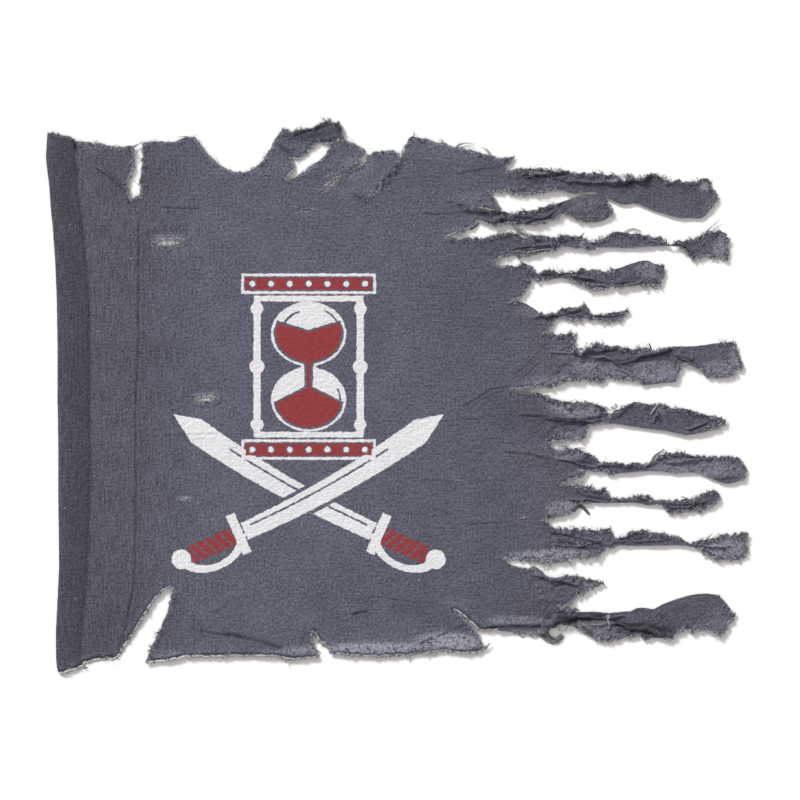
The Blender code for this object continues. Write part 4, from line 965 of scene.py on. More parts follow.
def tone_at(x, y):
    """The slow change of tone over the cloth as it lies, with a few patches of painted shade and light,
    and the hem's painted highlight and line of painted shade.
    """
    tone = np.interp(x, *zip(*TONES))
    tone = tone * (1.0 + 0.06 * drift(x, y, 58.0, 80) + 0.05 * drift(x, y, 21.0, 81))
    tone = tone * (1.0 - 0.09 * smooth((170.0 - y) / 120.0))
    for *oval, change in TONE_AND_SHADE_PATCHES:
        tone = tone * (1.0 + change * spot(x, y, oval, 1.5))
    fold_x, hem = hoist_at(y)
    from_fold, from_seam = x - fold_x, x - fold_x - hem
    # The hem is paler towards its fold, and near the lower corner, with a painted highlight along the fold
    # itself.
    layers = HEM_TONE + 0.16 * (1.0 - smooth(from_fold / 26.0))
    layers = layers + 0.12 * np.exp(-(from_fold / 3.0) ** 2)
    layers = 1.0 - (1.0 - layers) * (0.62 + 0.38 * smooth((y - 70.0) / 70.0))
    # A pale line lies beside the seam, and before it a faint line of painted shade where the cloth steps
    # down off the hem.
    line = 0.04 * np.exp(-((from_seam - 2.0) / 3.0) ** 2)
    line = line - 0.012 * np.exp(-((from_seam + 2.4) / 1.3) ** 2)
    return tone * (layers + (1.0 - layers) * smooth((from_seam + 2.6) / 3.2)) + line


print("frayed places and patches:", len(WORN), len(TONE_AND_SHADE_PATCHES))

# %% [markdown]
# ## The sheet
# Each flat point is laid down and becomes a point of a mesh of one layer, as thin cotton looks.
# It keeps its flat place, so that the weave follows the cloth round each fold, and six numbers for the
# finish: how much painted shade a crease gets there, how frayed the cloth is, its tone with some painted
# shade and light, how far off the torn edge is, whether that is below, and whether it is in a gathered
# strip.

# %% Lay the sheet and note what the finish needs
MM = 0.001
SHIFT = np.array((CAD_LOW.x / MM - 0.4, CAD_LOW.y / MM - 4.0, 0.0))
MOST_EDGE = 30.0  # largest distance to the torn edge that is kept


def piece(name, points, faces, **numbers):
    """A mesh object from millimetre points, with numbers for each."""
    mesh = bpy.data.meshes.new(name)
    mesh.from_pydata(((points + SHIFT) * MM).tolist(), [], faces.tolist())
    mesh.shade_smooth()
    for title, values in numbers.items():
        kind, key = ("FLOAT_VECTOR", "vector") if values.ndim == 2 else ("FLOAT", "value")
        layer = mesh.attributes.new(title, kind, "POINT")
        layer.data.foreach_set(key, values.astype(np.float32).ravel())
    made = bpy.data.objects.new(name, mesh)
    bpy.context.scene.collection.objects.link(made)
    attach(made, "root")
    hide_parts("flag_cloth")
    return made


is_torn = np.concatenate((torn, np.ones(len(loop_starts) - len(torn)))) > 0.5
edge, rim = nearest(flat, loop_starts[is_torn])
laid, dark = lay_cloth(*flat.T, edge)
laid_x, laid_y = laid[:, 0], laid[:, 1]
worn, tone = worn_at(laid_x, laid_y), tone_at(laid_x, laid_y)
# The outline runs counter-clockwise, so where it runs to the right the cloth is above it.
run = (loop_ends - np.concatenate([np.roll(loop, 1, axis=0) for loop in loops]))[is_torn]
hole_turn = np.repeat([1.0] + [-1.0] * (len(loops) - 1), [len(loop) for loop in loops])
below = smooth((unit(run)[:, 0] * hole_turn[is_torn] - 0.1) / 0.6)[rim]
on_bottom = smooth((105.0 - laid_y) / 10.0) * smooth((600.0 - laid_x) / 30.0)
below = below * (0.42 + 0.58 * on_bottom + 0.2 * drift(laid_x, laid_y, 11.0, 96))
gathered = np.zeros(len(flat))
for _, root, inside in strip_parts(*flat.T):
    gathered[inside] = smooth((flat[inside, 0] - root) / 50.0)
flat_place = np.concatenate((flat, np.zeros((len(flat), 1))), axis=1)
cloth = piece("flag_sheet", laid, triangles, flat_place=flat_place, crease=dark, worn=worn,
              tone=tone, edge=np.minimum(edge, MOST_EDGE), gathered=gathered, below=below)
print("sheet laid from", laid.min(axis=0), "to", laid.max(axis=0))

# %% [markdown]
# ## Tubes for loose threads
# Where cotton is torn, the threads along the tear drop out and the ones across it stay as a
# fringe.  Each is a thin three-sided tube, and as there are tens of thousands, all the tubes of a
# piece are worked out at once.

# %% Tubes, and the torn edges they grow from
TORN_NEAR = 0.9  # both ends of a torn edge are this near a torn point


def tubes(paths, radii):
    """Points and faces of a three-sided tube along each path."""
    count, steps, _ = paths.shape
    way = unit(np.gradient(paths, axis=1))
    side = unit(np.cross(way, (0.0, 0.0, 1.0)))
    up = np.cross(side, way)
    turns = [math.pi / 2.0 + corner * 2.0 * math.pi / 3.0 for corner in range(3)]
    rings = [paths + radii[..., None] * (math.cos(turn) * side + math.sin(turn) * up)
             for turn in turns]
    points = np.stack(rings, axis=2).reshape(-1, 3)
    base = (np.arange(count)[:, None] * steps + np.arange(steps - 1)[None]) * 3
    faces = []
    for corner in range(3):
        a, b = base + corner, base + (corner + 1) % 3
        faces += [np.stack((a, b, b + 3), axis=-1), np.stack((a, b + 3, a + 3), axis=-1)]
    first = np.arange(count) * steps * 3
    last = first + (steps - 1) * 3
    faces.append(np.stack((first + 2, first + 1, first), axis=-1))
    faces.append(np.stack((last, last + 1, last + 2), axis=-1))
    return points, np.concatenate([rows.reshape(-1, 3) for rows in faces])


# A side that only one triangle has is on the border of the sheet.
sides = np.concatenate([triangles[:, pair] for pair in ((0, 1), (1, 2), (2, 0))])
there, back = (sides[:, a] * len(flat) + sides[:, b] for a, b in ((0, 1), (1, 0)))
border = sides[~np.isin(there, back)]
border = border[(edge[border] < TORN_NEAR).all(axis=1)]
rim_start, rim_end = laid[border[:, 0]], laid[border[:, 1]]
rim_way = rim_end - rim_start
rim_length = np.linalg.norm(rim_way, axis=1)
rim_out = unit(np.stack((rim_way[:, 1], -rim_way[:, 0], np.zeros(len(border))), axis=1))
rim_gathered = gathered[border[:, 0]]
print("torn edges: %.1f m" % (rim_length.sum() * MM))

# %% [markdown]
# ## The fringe
# Threads stand off the torn edges with some disorder, taper to their tips and sag to the floor.
# They come in tufts that share a lean, a length and a bend.  Most are as dark as the cloth, but on many
# edges they are bleached, and on lower edges their paleness is partly painted light, lit against the
# shadow below.

# %% Threads along the torn edges
# Places where the loose threads are bleached: (x, y, reach)
BLEACHED = (
    (356, 626, 9), (375, 638, 12), (402, 655, 12), (421, 621, 12), (512, 562, 16), (535, 568, 14),
    (588, 150, 12), (610, 147, 16), (530, 79, 7), (545, 62, 9), (155, 556, 30), (201, 353, 30),
    (557, 600, 12), (598, 366, 12), (626, 366, 14), (640, 542, 16), (612, 541, 12), (158, 116, 8),
    (640, 205, 10), (642, 297, 8), (705, 386, 10), (636, 439, 8), (597, 482, 8), (700, 158, 12),
    (341, 48, 20),
)


def bleached_at(x, y):
    """How bleached loose threads are, from 0 to 1."""
    return np.max([0.9 * spot(x, y, (middle_x, middle_y, reach, reach), 1.5)
                   for middle_x, middle_y, reach in BLEACHED], axis=0)


def torn_places(random, spacing, on_panel):
    """Places along the torn edges, fewer on the panel: rows of edges, and points."""
    passed = np.concatenate(([0.0], np.cumsum(rim_length)))
    count = int(passed[-1] / spacing)
    places = (np.arange(count) + random.random(count)) * passed[-1] / count
    row = np.clip(np.searchsorted(passed, places) - 1, 0, len(rim_length) - 1)
    keep = random.random(count) < on_panel + (1.0 - on_panel) * rim_gathered[row]
    row, places = row[keep], places[keep]
    share = ((places - passed[row]) / np.maximum(rim_length[row], 1e-9))[:, None]
    return row, rim_start[row] + (rim_end[row] - rim_start[row]) * share


def fringe(name, spacing, together, spread, shortest, longest, steps, radius, bend,
           on_panel, seed):
    """Threads along all torn edges, in tufts of the given number."""
    random = np.random.default_rng(seed)
    row, middle = torn_places(random, spacing, on_panel)
    count, many = len(row), len(row) * together
    x, y = middle[:, 0], middle[:, 1]
    lean = 0.8 * drift(x, y, 6.0, 92) + random.normal(0.0, 0.5, count)
    size = random.random(count) ** 1.7
    size *= np.clip(0.7 + 0.7 * drift(x, y, 9.0, 93), 0.25, 1.2)
    curl = random.normal(0.0, bend, count)
    row, lean, size, curl, middle = (np.repeat(values, together, axis=0)
                                     for values in (row, lean, size, curl, middle))
    out, on_strip = rim_out[row], rim_gathered[row]
    upper_side, lower_side = (smooth((sign * out[:, 1] - 0.1) / 0.6) for sign in (1.0, -1.0))
    along = np.stack((-out[:, 1], out[:, 0], np.zeros(many)), axis=1)
    off = random.normal(0.0, 1.0, (many, 1)) * spread
    root = middle + along * off
    lean = (lean + random.normal(0.0, 0.25, many))[:, None] - 0.25 * off
    way = out * np.cos(lean) + along * np.sin(lean)
    reach = shortest + (longest - shortest) * size * random.uniform(0.6, 1.1, many)
    reach = (reach * (1.0 + 0.6 * upper_side * (1.0 - on_strip)))[:, None]
    curl = (curl + random.normal(0.0, 0.25 * bend, many))[:, None, None]
    s = np.linspace(0.0, 1.0, steps)[None, :, None]
    paths = (root - way * 0.7)[:, None] + way[:, None] * (reach + 0.7)[:, None] * s
    paths = paths + along[:, None] * curl * reach[:, None] * s ** 2
    paths = paths - way[:, None] * (0.35 * np.abs(curl) * reach[:, None] * s ** 3)
    rise = random.uniform(-0.6, 0.8, (many, 1)) * np.minimum(reach, 2.5)
    paths[..., 2] += 0.1 + rise * s[..., 0] - 0.09 * reach * s[..., 0] ** 2
    paths[..., 2] = np.maximum(paths[..., 2], 0.3)
    radii = radius * random.uniform(0.7, 1.2, (many, 1)) * (1.05 - 0.65 * s[0, :, 0] ** 2)
    pale = np.repeat(random.random(count), together)
    pale = np.clip(pale + random.normal(0.0, 0.1, many), 0.0, 1.0)
    # Threads on lower edges are paler, partly bleached and partly painted light, lit against the shadow
    # below
    bleached_and_lit = np.max(((0.93 - 0.33 * on_strip) * lower_side,
                       (0.75 - 0.45 * on_strip) * upper_side,
                       bleached_at(root[:, 0], root[:, 1])), axis=0)
    pale = pale * (1.0 - bleached_and_lit) + bleached_and_lit * random.uniform(0.42, 1.0, many)
    return piece(name, *tubes(paths, radii), pale=np.repeat(pale, steps * 3))


fuzz = fringe("fine_fuzz", spacing=0.58, together=1, spread=0.0, shortest=0.9, longest=3.6,
              steps=3, radius=0.17, bend=0.35, on_panel=1.0, seed=90)
tufts = fringe("tufts_of_thread", spacing=3.9, together=5, spread=0.9, shortest=1.5,
               longest=7.0, steps=5, radius=0.27, bend=1.0, on_panel=0.25, seed=91)
strands = fringe("long_loose_threads", spacing=14.0, together=1, spread=0.0, shortest=4.0,
                 longest=14.0, steps=9, radius=0.2, bend=0.6, on_panel=0.6, seed=92)
print("fringe:", {made.name: len(made.data.polygons) for made in (fuzz, tufts, strands)})

# %% [markdown]
# ## Curled ends on the cloth
# Broken thread ends also curl up out of the cloth, near tears and frayed places.  Each sits on a
# triangle picked by chance, lies along it and arches a little, so it casts the small shadows that
# make cotton look fuzzy.

# %% Curled thread ends
def lint(name, count, shortest, longest, radius, seed):
    """Curled thread ends on the cloth, near torn edges and where it is frayed."""
    random = np.random.default_rng(seed)
    corners = laid[triangles]
    normal = np.cross(corners[:, 1] - corners[:, 0], corners[:, 2] - corners[:, 0])
    doubled = np.linalg.norm(normal, axis=1)
    from_edge, frayed, in_strip = (values[triangles].mean(axis=1)
                                   for values in (edge, worn, gathered))
    chance = (0.35 + 0.65 * in_strip) * smooth(1.0 - from_edge / 7.0) + 0.25 * frayed ** 2
    chance = chance * doubled * (normal[:, 2] > 0.2 * doubled)
    row = random.choice(len(triangles), count, p=chance / chance.sum())
    shares = random.dirichlet((1.0, 1.0, 1.0), count)
    middle = np.einsum("nk,nkc->nc", shares, corners[row])
    normal = normal[row] / doubled[row][:, None]
    turn = 3.1 * drift(middle[:, 0], middle[:, 1], 9.0, 94) + random.normal(0.0, 0.7, count)
    first = np.stack((np.cos(turn), np.sin(turn), np.zeros(count)), axis=1)
    first -= normal * (first * normal).sum(axis=1)[:, None]
    second = np.cross(normal, first)
    reach = shortest + (longest - shortest) * random.random((count, 1)) ** 1.6
    s = np.linspace(-0.5, 0.5, 5)[None, :, None]
    bow = random.normal(0.0, 0.5, (count, 1, 1)) * reach[:, None]
    paths = middle[:, None] + first[:, None] * reach[:, None] * s
    paths = paths + second[:, None] * bow * (0.25 - s ** 2) * 2.0
    arch = 0.15 + random.uniform(0.0, 0.7, (count, 1, 1))
    paths = paths + normal[:, None] * (arch * (1.0 - 3.0 * s ** 2) + radius * 0.5)
    radii = radius * random.uniform(0.7, 1.3, (count, 1)) * (1.0 - 1.6 * s[0, :, 0] ** 2)
    pale = random.random(count) ** 1.1
    return piece(name, *tubes(paths, radii), pale=np.repeat(pale, s.size * 3))


curls = lint("curled_thread_ends", count=5600, shortest=1.5, longest=5.0, radius=0.33, seed=97)
print("curled ends:", len(curls.data.polygons), "triangles")

# %% [markdown]
# ## Scraps and fluff
# A few scraps hang on by their last threads: narrow bundles that twist along a line.  Fluff is
# short curled threads caught along a line, or a single pale speck.  A ray from above finds how
# high the cloth is under each.

# %% Where the scraps and the fluff are
# Scraps that hang on by a few threads: (width, lowest and highest paleness, line)
SCRAPS = (
    (8.4, 0.1, 0.95, (633, 61), (636, 54), (641, 48), (647, 45), (654, 46), (660, 52)),
    (4.6, 0, 0.85, (671, 212), (676, 215), (681, 219), (687, 215), (694, 207)),
    (1.6, 0, 0.4, (771, 416), (773, 421), (770, 426)),
    (1.8, 0.3, 0.9, (774, 276), (778, 283), (786, 288), (789, 291)),
    (1.2, 0.6, 0.95, (738, 567), (744, 572), (752, 573), (760, 569)),
    (2, 0.1, 0.8, (672, 82), (676, 87), (681, 84)),
    (2.8, 0.6, 1, (718, 60), (720, 67), (717, 73), (719, 79)),
    (2.2, 0.2, 0.95, (601, 545), (612, 541), (622, 543), (634, 545), (650, 547)),
    (1.2, 0.6, 0.95, (545, 599), (556, 598), (566, 597), (574, 596)),
    (0.5, 0.7, 1, (602, 57), (605, 51), (610, 50), (612, 55)),
    (0.5, 0.7, 1, (617, 56), (621, 49), (628, 50), (627, 56)),
    (0.4, 0.8, 1, (489, 33), (492, 26), (498, 26), (499, 31)),
    (0.4, 0.8, 1, (464, 28), (466, 22), (463, 18)), (1.8, 0, 0.3, (33, 687), (36, 680), (35, 674)),
    (1.6, 0.3, 0.9, (868, 165), (874, 158), (882, 155)),
    (1.4, 0.2, 0.9, (636, 208), (650, 206), (662, 205)),
    # The first scrap on this line is made pale as a painted highlight on a fold of a strip
    (1.8, 0.6, 1, (782, 348), (776, 341), (772, 334)), (1.4, 0, 0.4, (542, 571), (548, 575), (553, 580)),
)
# Fluff caught along a line: (half width, threads, lowest and highest paleness, line)
FLUFF = (
    (2.4, 60, 0.4, 1, (380, 641), (390, 648), (402, 657)),
    (2, 24, 0.4, 1, (353, 622), (364, 631), (378, 642)),
    (1.6, 70, 0.4, 1, (407, 606), (413, 612), (424, 624), (434, 635)),
    (1.6, 24, 0, 0.6, (436, 637), (446, 649), (453, 661)),
    (1.4, 20, 0.3, 0.9, (345, 656), (356, 664), (368, 672)),
    (0.8, 10, 0.5, 1, (514, 603), (522, 606), (530, 603)),
    (3, 140, 0.1, 1, (602, 570), (612, 566), (618, 560), (622, 553)),
    (2.4, 60, 0.4, 1, (582, 538), (592, 540), (604, 537), (612, 541)),
    (2.2, 70, 0.4, 1, (596, 56), (610, 55), (625, 53), (638, 52)),
    (3, 110, 0.1, 1, (633, 61), (637, 52), (644, 46), (652, 46)),
    (1.6, 40, 0.5, 1, (672, 418), (675, 430), (677, 440)),
    (2, 44, 0.7, 1, (340, 58), (342, 51), (345, 44)), (1.8, 36, 0.4, 1, (340, 41), (343, 34), (347, 27)),
    (1.6, 26, 0.5, 0.95, (318, 598), (330, 598), (342, 599)),
    (1.4, 24, 0.6, 1, (351, 41), (357, 42), (361, 36)), (0.3, 3, 0.9, 1, (36, 100), (36.5, 100)),
    (0.3, 3, 0.9, 1, (321, 123), (321.5, 123)), (0.4, 5, 0.9, 1, (609, 202), (610, 202)),
    (0.3, 2, 0.8, 1, (29, 577), (29.5, 577)), (0.4, 4, 0.7, 1, (83, 535), (84, 535)),
    (0.4, 4, 0.7, 1, (107, 535), (108, 535)), (0.3, 2, 0.8, 1, (489, 635), (489.5, 635)),
    (0.3, 3, 0.9, 1, (196, 30), (196.5, 30)), (0.4, 3, 0.8, 1, (22, 215), (23, 215)),
    (0.4, 5, 0.8, 1, (477, 122), (478, 122)), (1.6, 14, 0.7, 1, (170, 227), (184, 227)),
    (1.2, 20, 0.6, 1, (192, 361), (216, 362)),
    (3, 110, 0, 0.9, (600, 640), (615, 646), (640, 648), (665, 646)),
    (4, 80, 0, 0.8, (615, 636), (640, 637), (665, 640)),
    (2.4, 60, 0, 1, (722, 636), (735, 640), (748, 641)),
    (2.4, 60, 0, 0.8, (752, 636), (775, 642), (795, 636)),
    (2.4, 40, 0, 0.9, (828, 632), (842, 634), (850, 630)),
    (2.4, 60, 0, 0.5, (590, 586), (620, 583), (645, 588)),
    (2.6, 50, 0.1, 1, (646, 548), (652, 556), (655, 564)),
    (2, 50, 0.1, 1, (610, 541), (625, 543), (645, 545)),
    (2.6, 60, 0.4, 1, (688, 556), (700, 556), (716, 563)),
    (2.4, 40, 0, 0.9, (822, 540), (832, 545), (842, 556)),
    (2.4, 40, 0, 0.9, (665, 416), (672, 430), (676, 438)),
    (2, 50, 0.2, 0.9, (676, 417), (690, 422), (706, 425)),
    (2, 50, 0.1, 1, (722, 385), (738, 382), (752, 380)),
    (2.4, 40, 0, 0.9, (646, 352), (660, 346), (672, 338)),
    (2, 50, 0, 0.6, (700, 346), (716, 342), (728, 346)),
    (2.4, 40, 0, 0.9, (640, 302), (652, 306), (662, 308)),
    (2.4, 40, 0, 0.9, (648, 246), (662, 250), (676, 256)),
    (3, 110, 0.1, 1, (600, 152), (640, 150), (680, 156), (706, 160)),
    (3.4, 80, 0.1, 1, (640, 168), (670, 170), (710, 168)),
    (2, 50, 0.2, 0.9, (636, 188), (670, 190), (712, 188)),
    (3.4, 90, 0.1, 1, (648, 62), (670, 62), (700, 52), (740, 54)),
    (2.4, 50, 0.3, 1, (716, 62), (719, 70), (718, 79)), (3, 60, 0, 0.9, (740, 58), (765, 54), (790, 56)),
    (2.4, 60, 0.2, 1, (440, 30), (480, 34), (520, 34), (560, 38)),
)
print("scraps:", len(SCRAPS), "and lines of fluff:", len(FLUFF))

# %% Scraps and fluff
CURL_STEPS = 12  # points along a thread
surface = BVHTree.FromPolygons(laid.tolist(), triangles.tolist())
ways = np.linspace(-1.0, 1.0, CURL_STEPS)


def height_on(x, y):
    """Height of the highest cloth at a place, or of the floor."""
    hit = surface.ray_cast((x, y, 60.0), (0.0, 0.0, -1.0))[0]
    return 0.6 if hit is None else hit.z


def scrap_thread(random, line, width):
    """One twisted thread of a scrap, along the line."""
    share, steps = np.linspace(0.0, 1.0, CURL_STEPS), np.linspace(0.0, 1.0, len(line))
    x, y = (np.interp(share, steps, line[:, axis]) for axis in (0, 1))
    way = unit(np.stack((np.gradient(x), np.gradient(y)), axis=1))
    off = random.uniform(-0.5, 0.5) * width + 0.3 * width * np.sin(
        random.uniform(0.0, 6.3) + random.uniform(2.0, 7.0) * share)
    off = off * (1.0 - 0.5 * share)
    x = x - way[:, 1] * off + random.normal(0.0, 0.12 + 0.03 * width, CURL_STEPS)
    y = y + way[:, 0] * off + random.normal(0.0, 0.12 + 0.03 * width, CURL_STEPS)
    z = np.array([height_on(*place) for place in zip(x, y)])
    z = np.maximum(z, np.convolve(np.pad(z, 2, mode="edge"), np.ones(5) / 5.0, "valid"))
    return np.stack((x, y, z + random.uniform(0.2, 1.0)), axis=1)


def fluff_thread(random, line, half_width):
    """One short curled thread, somewhere beside the line."""
    middle = line[random.integers(len(line))] + random.normal(0.0, 0.6, 2) * half_width
    turn, bow = random.uniform(0.0, 6.3), random.normal(0.0, 1.2)
    heading = turn + bow * ways
    step = random.uniform(1.2, 4.5) / CURL_STEPS
    x = middle[0] + step * np.cumsum(np.cos(heading))
    y = middle[1] + step * np.cumsum(np.sin(heading))
    z = max(height_on(x[3], y[3]), height_on(x[8], y[8]))
    return np.stack((x, y, z + 0.15 + random.uniform(0.1, 0.9) * (1.0 - ways ** 2)), axis=1)


def scraps(name, seed):
    """All scraps and all fluff, as one piece."""
    random = np.random.default_rng(seed)
    paths, pale = [], []
    for width, darkest, palest, *line in SCRAPS:
        line = divided(line, 1.5)
        for _ in range(3):
            line[1:-1] = (line[:-2] + 2.0 * line[1:-1] + line[2:]) / 4.0
        for _ in range(3 + int(4 * width)):
            paths.append(scrap_thread(random, line, width))
            pale.append(random.uniform(darkest, palest))
    for half_width, count, darkest, palest, *line in FLUFF:
        line = divided(line, 1.0)
        for _ in range(count):
            paths.append(fluff_thread(random, line, half_width))
            pale.append(random.uniform(darkest, palest))
    radii = np.full((len(paths), CURL_STEPS), 0.27) * (1.1 - 0.6 * ways ** 4)
    return piece(name, *tubes(np.array(paths), radii), pale=np.repeat(pale, CURL_STEPS * 3))


hanging = scraps("hanging_scraps", seed=98)
print("scraps and fluff:", len(hanging.data.polygons), "triangles")

# %% [markdown]
# ## Ladders in the worn holes
# In the worn-through places only one set of threads has gone.  The others still cross the gap
# like rungs, pale and a little slack, and some have snapped.  A few light threads are caught on
# the cloth too.

# %% Threads that cross the holes
# Light threads caught up on the cloth: (middle x, y, half length)
SNAGS = ((331, 594.6, 6), (329, 594, 4), (321, 592.4, 4), (343, 596.8, 6), (334, 593.2, 2))


def ladder(name, seed):
    """Threads across the panel's holes, and the light ones on the cloth."""
    random = np.random.default_rng(seed)
    paths, steps = [], np.linspace(-1.0, 1.0, 7)
    # The last hole is a bare slit, with no threads left in it.
    for middle_x, middle_y, half_length, half_height, tilt in HOLES[:-1]:
        slope = math.tan(math.radians(tilt))
        x = middle_x - half_length + 1.5
        while x < middle_x + half_length - 1.0:
            reach = half_height * (1.0 - ((x - middle_x) / half_length) ** 2) + 1.2
            lean = random.normal(0.0, 0.5)
            y = middle_y + slope * (x - middle_x) + reach * steps
            if random.uniform() < 0.25:
                y = y[0] + (y - y[0]) * random.uniform(0.3, 0.8)
            paths.append(np.stack((x + lean * steps + 0.3 * np.sin(3.0 * steps + x),
                                   y, 1.9 - 0.7 * (1.0 - steps ** 2)), axis=1))
            x += random.uniform(0.5, 1.2)
    for middle_x, middle_y, reach in SNAGS:
        x, y = middle_x + reach * steps, middle_y + 0.4 * np.sin(2.0 * steps + middle_x)
        height = lay_cloth(x, y, np.full(len(x), MOST_EDGE))[0][:, 2]
        paths.append(np.stack((x, y, height + 0.15), axis=1))
    pale = random.uniform(0.7, 1.0, len(paths))
    pale[-len(SNAGS):] = 1.0
    radii = np.full((len(paths), len(steps)), 0.25)
    return piece(name, *tubes(np.array(paths), radii), pale=np.repeat(pale, len(steps) * 3))


rungs = ladder("ladder_threads", seed=95)
THREADS = [fuzz, tufts, strands, curls, hanging]
print("rungs:", len(rungs.data.polygons))

# %% [markdown]
# ## Shader sums written like sums
# A finish is a net of nodes, and most of them only add, multiply or compare.  A small class
# stands for one output socket and overloads Python's operators, so that a line of shader maths
# reads as a formula.

# %% A socket that can be reckoned with
OPERATORS = {"add": "ADD", "sub": "SUBTRACT", "mul": "MULTIPLY", "truediv": "DIVIDE",
             "pow": "POWER"}


class Socket:
    """The output of a shader node, used in sums like a number."""

    def __init__(self, finish, output):
        self.finish, self.output = finish, output

    def maths(self, operation, *values):
        return self.finish.node("ShaderNodeMath", {"operation": operation}, values)

    def __abs__(self):
        return self.maths("ABSOLUTE", self)

    def least(self, other):
        return self.maths("MINIMUM", self, other)

    def most(self, other):
        return self.maths("MAXIMUM", self, other)

    def sine(self):
        return self.maths("SINE", self)

    def between(self, low, high):
        """From 0 at low to 1 at high, and held there."""
        settings = {"interpolation_type": "SMOOTHSTEP"}
        return self.finish.node("ShaderNodeMapRange", settings, (self, low, high))


def operator_pair(operation):
    """Methods for a socket on the left and on the right of an operator."""
    return (lambda self, other: self.maths(operation, self, other),
            lambda self, other: self.maths(operation, other, self))


for title, operation in OPERATORS.items():
    forward, reflected = operator_pair(operation)
    setattr(Socket, "__%s__" % title, forward)
    setattr(Socket, "__r%s__" % title, reflected)
print("a socket understands:", *OPERATORS)

# %% A material that adds its own nodes
class Finish:
    """A material and its nodes."""

    def __init__(self, name):
        self.material = bpy.data.materials.new(name)
        self.material.use_nodes = True
        self.tree = self.material.node_tree
        self.surface = self.tree.nodes["Principled BSDF"]

    def node(self, kind, settings=None, inputs=(), output=0):
        """Add a node, with its settings and what goes into its sockets."""
        made = self.tree.nodes.new(kind)
        # Besides the big folds there are fine creases: sharp little valleys with a soft bank on both
        # sides, darkened with painted shade where the valley lies in shadow.  They are given as lines,
        # each with a depth, a half width and a darkness, and they fade out at their ends.
        # Besides the big folds there are fine creases: sharp little valleys with a soft bank on both
        # sides, darkened with painted shade where the valley lies in shadow.  They are given as lines,
        # each with a depth, a half width and a darkness, and they fade out at their ends.
        for name, value in (settings or {}).items():
            setattr(made, name, value)
        self.wire(made, inputs if isinstance(inputs, dict) else dict(enumerate(inputs)))
        return Socket(self, made.outputs[output])

    def wire(self, node, values):
        """Give a node's sockets a link or a plain value each."""
        for key, value in values.items():
            if isinstance(value, Socket):
                self.tree.links.new(value.output, node.inputs[key])
            else:
                node.inputs[key].default_value = value

    def put_on(self, thing, sockets):
        """Set the surface's own sockets and give the finish to an object."""
        self.wire(self.surface, sockets)
        thing.data.materials.append(self.material)

    def mix(self, share, first, second):
        """Mix two colours."""
        colours = [c if isinstance(c, Socket) else (*c, 1.0) for c in (first, second)]
        return self.node("ShaderNodeMix", {"data_type": "RGBA"},
                         {0: share, 6: colours[0], 7: colours[1]}, 2)

    def scaled(self, colour, amount):
        """Make a colour lighter or darker."""
        return self.node("ShaderNodeVectorMath", {"operation": "SCALE"}, {0: colour, 3: amount})

    def number(self, name):
        """A number that each point of the mesh keeps."""
        return self.node("ShaderNodeAttribute", {"attribute_name": name}, (), 2)

    def noise(self, place, size, stretch=(1.0, 1.0), detail=1.0, shift=0.0):
        """Soft random values from about -1 to 1, of the given size in millimetres."""
        scale = (stretch[0] / size, stretch[1] / size, 1.0)
        moved = self.node("ShaderNodeVectorMath", {"operation": "MULTIPLY_ADD"},
                          (place, scale, (shift, 1.7 * shift, 0.0)))
        inputs = {"Vector": moved, "Scale": 1.0, "Detail": detail, "Roughness": 0.6}
        return self.node("ShaderNodeTexNoise", {"noise_dimensions": "2D"}, inputs) * 4.0 - 2.0


cotton = Finish("worn_cotton")
place = cotton.node("ShaderNodeAttribute", {"attribute_name": "flat_place"}, (), 1)
flat_x = cotton.node("ShaderNodeSeparateXYZ", {}, (place,))
flat_y = Socket(cotton, flat_x.output.node.outputs[1])
print("finish started:", cotton.material.name)

# %% [markdown]
# ## The print
# A print sits in the middle of the flag: an hourglass with red sand over two crossed cutlasses.
# Each shape is a distance in the flat cloth, negative inside.  Distances join with the lesser of
# two and cut with the greater, and what is the same on both sides is drawn once with a mirrored
# X.

# %% The hourglass
PRINT_X, GLASS_Y, CROSSING_Y = 335.0, 396.0, 222.0
PLATE_Y = 106.0  # from the waist of the glass to an end plate
POST_X = 66.0  # from the middle to a post


def length(across, up):
    """Distance from the middle, for the shader."""
    return (across * across + up * up) ** 0.5


def box(across, up, half_width, half_height):
    """Distance to a box round the middle, for the shader."""
    return (abs(across) - half_width).most(abs(up) - half_height)


def fraction(value):
    """The fraction of a value, for the shader."""
    return value.maths("FRACT", value)


wander = cotton.noise(place, 7.0, detail=2.0) * 0.6 + cotton.noise(place, 1.6) * 0.35
beside = flat_x - PRINT_X
glass_x = abs(flat_x - PRINT_X)
glass_y = flat_y - GLASS_Y
from_waist = abs(glass_y)
plate = box(glass_x, from_waist - PLATE_Y, 86.0, 13.0)
inner_plate = box(glass_x, from_waist - 87.0, 70.0, 3.6)
studs = length(fraction(glass_x / 24.0 + 0.5) * 24.0 - 12.0, from_waist - PLATE_Y) - 3.6
posts = box(glass_x - POST_X, glass_y, 4.6, 84.0)
beads = (length(glass_x - POST_X, glass_y) - 9.5).least(
    length(glass_x - POST_X, from_waist - 74.0) - 8.0)
bulb = (length(glass_x / 48.0, (from_waist - 42.0) / 41.0) - 1.0) * 44.0
neck = box(glass_x, glass_y, 7.0, 14.0)
glass = bulb.maths("SMOOTH_MIN", bulb, neck, 12.0)
mound = (glass_y + 26.0 + glass_x * 0.5).most(glass + 6.0)
remaining = (glass_y - 50.0 + (20.0 - glass_x) * 0.3).most(glass + 6.0).most(1.0 - glass_y)
stream = box(glass_x, glass_y + 16.0, 2.4, 24.0)
sand = mound.least(remaining).least(stream)
shine = (abs(glass + 12.0) - 1.5).most(beside + 12.0).most(abs(glass_y - 60.0) - 12.0)
shade_line = (abs(glass + 7.0) - 1.2).most(20.0 - beside).most(abs(from_waist - 52.0) - 24.0)
